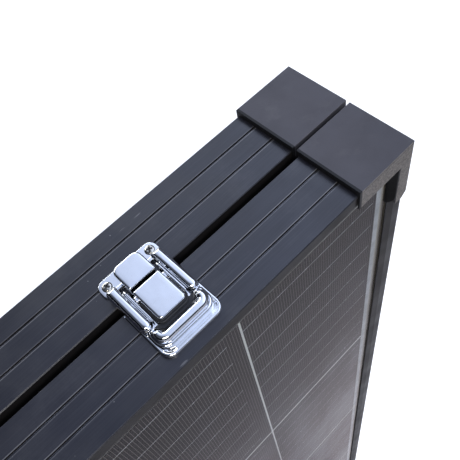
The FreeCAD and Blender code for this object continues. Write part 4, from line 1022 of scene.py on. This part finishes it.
def controller_details():
    """Screen bezel and segments, lamps, vents, terminal cover with its screws, and the button's collar."""
    cover_low, cover_high = box_mm("controller_cover")
    (x, _, _), (half, _, _) = middle_mm("controller_cover")
    (sx, _, sz), (reach_x, _, reach_z) = middle_mm("controller_screen")
    bx, _, bz = middle_mm("controller_button")[0]
    face, terminals_z = cover_high.y, cover_low.z + TERMINALS_UP
    trim = Shape(facing_back(face, 1))
    for side in (-1, 1):
        trim.plate(sx + side * (reach_x + BEZEL_HALF), sz, BEZEL_HALF, reach_z + 2.8, 0.6, BEZEL_LEVELS)
        trim.plate(sx, sz + side * (reach_z + BEZEL_HALF), reach_x + 2.8, BEZEL_HALF, 0.6, BEZEL_LEVELS)
    vent = [(0.0, -0.3), (0.0, 0.25), (0.3, 0.4), (0.9, 0.42)]
    for k in range(VENTS):
        trim.plate(x - 28 + VENT_PITCH * k, cover_high.z - 11.0, 1.5, 5.0, 1.4, vent)
    trim.plate(x, terminals_z, half - 4.0, 7.5, 1.5, [(0.0, -0.3), (0.0, 0.8), (0.4, 1.2), (1.2, 1.25)])
    collar = []
    for radius, height in ((8.0, -0.2), (8.0, 0.3), (7.6, 0.6), (6.4, 0.7), (5.5, 0.45), (5.4, -0.2)):
        collar.append([(a, b, height) for a, b in circle(radius, 40, bx, bz)])
    trim.rings(collar, True)
    trim.make("controller_trim", SHELL, "front_panel", slot="controller_shell")
    marks = Shape(facing_back(box_mm("controller_screen")[1].y, 1))
    for k in range(BARS):
        height = 3.0 + BAR_STEP * (BARS - 1 - k)
        marks.plate(sx - 18 + BAR_PITCH * k, sz - 9, 2.4, height, 0.4, SEGMENT_LEVELS, None, 2)
    marks.plate(sx, sz + 12.5, 22.0, 0.5, 0.3, SEGMENT_LEVELS, None, 2)
    marks.make("controller_display_bars", INK, "front_panel", slot="screen")
    heads, recess_shades = Shape(), Shape()
    for k in range(TERMINALS):
        at_x = x - 32.5 + TERMINAL_PITCH * k
        add_back_screw(heads, recess_shades, at_x, terminals_z, face + 1.2, 1, 2.7, 0.3 + 0.7 * k)
    heads.make("terminal_screws", ZINC, "front_panel", slot="zinc_steel")
    # Painted shade: black blades for the terminal screws' cross recesses.
    recess_shades.make("terminal_screw_shades", BLACK, "front_panel", slot="zinc_steel")
    lamps = Shape(facing_back(face, 1))
    dome = [(2.1, -0.2), (2.1, 0.5), (1.8, 1.0), (1.2, 1.4), (0.4, 1.55)]
    for k in (-1, 1):
        lamps.lathe(bx + LAMPS_OUT * k, bz, dome, 20)
    lamps.make("controller_lamps", RED_JACKET, "front_panel", slot="controller_shell")


controller_details()


# ---------------------------------------------------------------- leads

FRONT_LEAD_LOW, FRONT_LEAD_HIGH = box_mm("front_lead")
REAR_LEAD_LOW = box_mm("rear_lead")[0]
CROSS_X = REAR_LEAD_LOW.x + LEAD_RADIUS
CROSS_Z = REAR_LEAD_LOW.z
CROSS_HALF = 16.4
BEND = 4.6


def crossing_path():
    """From the front gland, down the cavity, straight across above the hinge and up to the rear gland."""
    half = [(FRONT_LEAD_HIGH.x - 2.0, MIDDLE_Z), (CROSS_X + 22, MIDDLE_Z), (CROSS_X + 6, MIDDLE_Z - 5),
            (CROSS_X, MIDDLE_Z - 20), (CROSS_X, 280), (CROSS_X, 160), (CROSS_X, 70), (CROSS_X, CROSS_Z + 12)]
    bend = [(CROSS_X, LEAD_Y + BEND * (1 - math.cos(t)), CROSS_Z + BEND * (1 - math.sin(t)))
            for t in [math.pi / 2 * k / 8 for k in range(9)]]
    start = catmull([(x, LEAD_Y, z) for x, z in half]) + [Vector(point) for point in bend]
    run = [Vector((CROSS_X, CROSS_HALF * (k / 40 - 1), CROSS_Z)) for k in range(81)]
    return start + run + [Vector((point.x, -point.y, point.z)) for point in reversed(start)]


crossing = Shape().tube(crossing_path(), LEAD_RADIUS, 14)
lead = crossing.make("crossing_lead", JACKET, None, ("front_lead", "rear_lead"), "lead_jacket", sharp=80)
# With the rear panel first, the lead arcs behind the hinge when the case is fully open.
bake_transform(lead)

BRANCH_X = FRONT_LEAD_LOW.x + LEAD_RADIUS
BRANCH_Z = 230.0
HOUSING_BOTTOM = box_mm("controller_housing")[0].z
BRANCH_PATH = [(CROSS_X, BRANCH_Z + 14), (CROSS_X - 3, BRANCH_Z + 4), (CROSS_X - 12, BRANCH_Z),
               (BRANCH_X + 12, BRANCH_Z), (BRANCH_X + 3, BRANCH_Z + 4), (BRANCH_X, BRANCH_Z + 16),
               (BRANCH_X, HOUSING_BOTTOM + 1)]
branch = Shape().tube(catmull([(x, LEAD_Y, z) for x, z in BRANCH_PATH]), LEAD_RADIUS, 14)
branch.make("controller_branch_lead", JACKET, "front_panel", slot="lead_jacket", sharp=80)

CORE_RADIUS = 2.3
TAIL_X = box_mm("output_lead")[0].x + LEAD_RADIUS
COIL_X, COIL_Y, COIL_Z, COIL_RADIUS = 30.0, -17.0, 125.0, 62.0
COIL_TURNS, TURN_STEPS = 2.5, 26
PLUG_START, BLACK_PLUG_Z, RED_PLUG_Z = 80, 177, 187


def output_core(phase, shift):
    """One core of the output lead: down from the controller, along, round the coil and to its plug."""
    tail_y = -15.2 - shift * 4.7
    down_x = TAIL_X - 2 + shift * 5
    tail = [(down_x, HOUSING_BOTTOM + 1), (down_x, 180), (TAIL_X - 1 + shift * 5, 95),
            (TAIL_X + 8 + shift * 4, 68), (TAIL_X + 36, 62.5 + shift * 2), (-180, 61.5 + shift * 4),
            (-70, 62.0 + shift * 3)]
    path = [(x, tail_y, z) for x, z in tail]
    for k in range(int(COIL_TURNS * TURN_STEPS) + 1):
        angle = -math.pi / 2 + 2 * math.pi * k / TURN_STEPS
        twist = phase + 2.2 * k / TURN_STEPS
        x, z = polar(COIL_RADIUS + 4.6 * math.cos(twist), angle, COIL_X, COIL_Z)
        path.append((x, COIL_Y + 4.4 * math.sin(twist), z))
    x, _, z = path[-1]
    path += [(x + 16, COIL_Y - 1.5 + shift * 3, z - 1.0), (x + 30, COIL_Y, BLACK_PLUG_Z + 1 + shift * 8),
             (PLUG_START + 2, COIL_Y, BLACK_PLUG_Z + shift * 10)]
    return catmull(path, 6)


def connector(shape, z, female):
    """Round locking connector with ribs, a collar and latching fingers, lying along X."""
    shape.place = lambda a, b, c: (PLUG_START + c, COIL_Y + a, z + b)
    levels = [(2.6, 0.0), (3.4, 0.3), (3.9, 1.2), (3.9, 2.0), (3.5, 2.3), (3.9, 2.6), (3.9, 3.6), (3.5, 3.9),
              (3.9, 4.2), (4.2, 7.0), (4.8, 8.0), (4.8, 14.0), (4.4, 14.6), (4.1, 15.0), (4.1, 19.0)]
    if female:
        levels += [(3.2, 19.5), (3.2, 34.0), (2.6, 34.8)]
    else:
        levels += [(4.5, 19.6), (4.5, 30.0), (4.2, 30.8), (3.0, 31.0)]
    shape.lathe(0, 0, levels, 28)
    for side in (-1, 1):
        shape.plate(side * 4.3, 0, 0.8, 1.4, 0.3, [(0.0, 17.0), (0.0, 29.0), (0.4, 31.0)], None, 2)


cores = {"black": (0.0, 0, JACKET), "red": (math.pi, 1, RED_JACKET)}
for colour, (phase, shift, surface) in cores.items():
    core = Shape().tube(output_core(phase, shift), CORE_RADIUS, 12)
    stands_for = ("output_lead",) if shift == 0 else ()
    core.make("output_core_" + colour, surface, "front_panel", stands_for, "lead_jacket", sharp=80)
plugs = Shape()
connector(plugs, BLACK_PLUG_Z, False)
connector(plugs, RED_PLUG_Z, True)
plugs.make("output_connectors", BLACK, "front_panel", slot="black_plastic")

ties = Shape()
for angle in (0.9, 2.7, 5.1):
    cos, sin = polar(1.0, angle)
    ring = []
    for t in [2 * math.pi * k / 28 for k in range(28)]:
        out = COIL_RADIUS + 8.2 * math.cos(t)
        ring.append((COIL_X + out * cos, COIL_Y + 7.4 * math.sin(t), COIL_Z + out * sin))
    for shift in (-1.6, -0.8, 0.0, 0.8, 1.6):
        ties.place = lambda a, b, c, shift=shift, cos=cos, sin=sin: (a - shift * sin, b, c + shift * cos)
        ties.tube(ring, 0.55, 8, True)
ties.make("coil_ties", BLACK, "front_panel", slot="black_plastic")


# ---------------------------------------------------------------- stage, light and camera

def ground():
    """Pale floor, a little lit from within to the camera, warmer to everything it lights."""
    s = Surface("studio_floor")
    lit = s.add("ShaderNodeBsdfDiffuse", {"Color": (0.86, 0.86, 0.86)})
    warm = s.add("ShaderNodeBsdfDiffuse", {"Color": (0.74, 0.70, 0.67)})
    glow = s.add("ShaderNodeEmission", {"Color": (1.0, 1.0, 1.0), "Strength": 0.55})
    seen = s.add("ShaderNodeAddShader", {0: lit, 1: glow})
    direct = s.add("ShaderNodeLightPath", out="Is Camera Ray")
    return s.show(s.add("ShaderNodeMixShader", {0: direct, 1: warm, 2: seen}))


floor_mesh = bpy.data.meshes.new("floor")
floor_mesh.from_pydata([(-30, -30, 0), (30, -30, 0), (30, 30, 0), (-30, 30, 0)], [], [(0, 1, 2, 3)])
floor_mesh.materials.append(ground())
floor = add_object("floor", floor_mesh)
lowest = add_object("rear_panel_far_corner", None)
lowest.location = (0, -FRONT_Y * MM, (TOP_Z + 30) * MM)
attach(lowest, "rear_panel")
follow = floor.constraints.new("COPY_LOCATION")
follow.target = lowest
follow.use_x = follow.use_y = False
stay = floor.constraints.new("LIMIT_LOCATION")
stay.use_max_z = True
stay.max_z = -0.5 * MM

SKY = ((0.0, (0.10, 0.10, 0.11)), (0.50, (0.03, 0.03, 0.035)), (0.735, (0.022, 0.024, 0.030)),
       (0.775, (0.50, 0.56, 0.72)), (0.82, (0.66, 0.75, 0.98)), (1.0, (0.60, 0.70, 0.96)))
SKY_LEAN = 0.12
SKY_SIDE = {"From Min": -0.25, "From Max": 0.6, "To Min": 0.1, "To Max": 2.05}


def studio_world():
    """Pale blue overhead light, dark at the horizon and weaker towards -X; the camera itself sees white."""
    world = bpy.data.worlds.new("studio")
    bpy.context.scene.world = world
    world.use_nodes = True
    world.node_tree.nodes.clear()
    s = Nodes(world.node_tree)
    where = s.add("ShaderNodeTexCoord", out="Generated")
    x, y, z = [s.add("ShaderNodeSeparateXYZ", {0: where}, out=name) for name in "XYZ"]
    height = s.math("MULTIPLY_ADD", s.math("MULTIPLY_ADD", y, -SKY_LEAN, z), 0.5, 0.5)
    ramp = s.add("ShaderNodeValToRGB", {0: height})
    stops = ramp.node.color_ramp.elements
    for index, (place, colour) in enumerate(SKY):
        stop = stops[index] if index < 2 else stops.new(place)
        stop.position = place
        stop.color = (*colour, 1.0)
    strength = s.add("ShaderNodeMapRange", {"Value": x, **SKY_SIDE})
    sky = s.add("ShaderNodeBackground", {"Color": ramp, "Strength": strength})
    white = s.add("ShaderNodeBackground", {"Color": (1.0, 1.0, 1.0)})
    seen = s.add("ShaderNodeLightPath", out="Is Camera Ray")
    whole = s.add("ShaderNodeMixShader", {0: seen, 1: sky, 2: white})
    s.put(s.nodes.new("ShaderNodeOutputWorld").inputs["Surface"], whole)


def area_light(name, place, aim, size, power, colour):
    data = bpy.data.lights.new(name, "AREA")
    data.shape = "RECTANGLE"
    data.size, data.size_y = size
    data.energy = power
    data.color = colour
    lamp = add_object(name, data)
    lamp.location = place
    lamp.rotation_euler = (Vector(aim) - Vector(place)).to_track_quat("-Z", "Y").to_euler()


studio_world()
area_light("key", (-0.6, -1.6, 2.2), (0.2, 0, 0.4), (1.6, 0.9), 26, (1.0, 0.98, 0.95))
area_light("back", (0.4, 2.0, 1.6), (0.0, 0, 0.4), (2.0, 0.7), 22, (0.92, 0.96, 1.0))

CAMERA_FROM_CORNER = Vector((-148.5, -84.1, 206.8))
CAMERA_RIGHT = Vector((0.70635, -0.69493, -0.13474))
CAMERA_UP = Vector((0.64646, 0.55573, 0.52275))
camera_data = bpy.data.cameras.new("camera")
camera_data.sensor_width = 36.0
camera_data.lens = 48.34
camera_data.clip_start = 0.01
camera = add_object("camera", camera_data)
turn = Matrix((CAMERA_RIGHT, CAMERA_UP, CAMERA_RIGHT.cross(CAMERA_UP))).transposed().to_4x4()
corner = Vector((HALF_LENGTH, FRONT_Y, TOP_Z))
camera.matrix_world = Matrix.Translation((corner + CAMERA_FROM_CORNER) * MM) @ turn
bpy.context.scene.camera = camera
bpy.context.scene.view_settings.view_transform = "Standard"
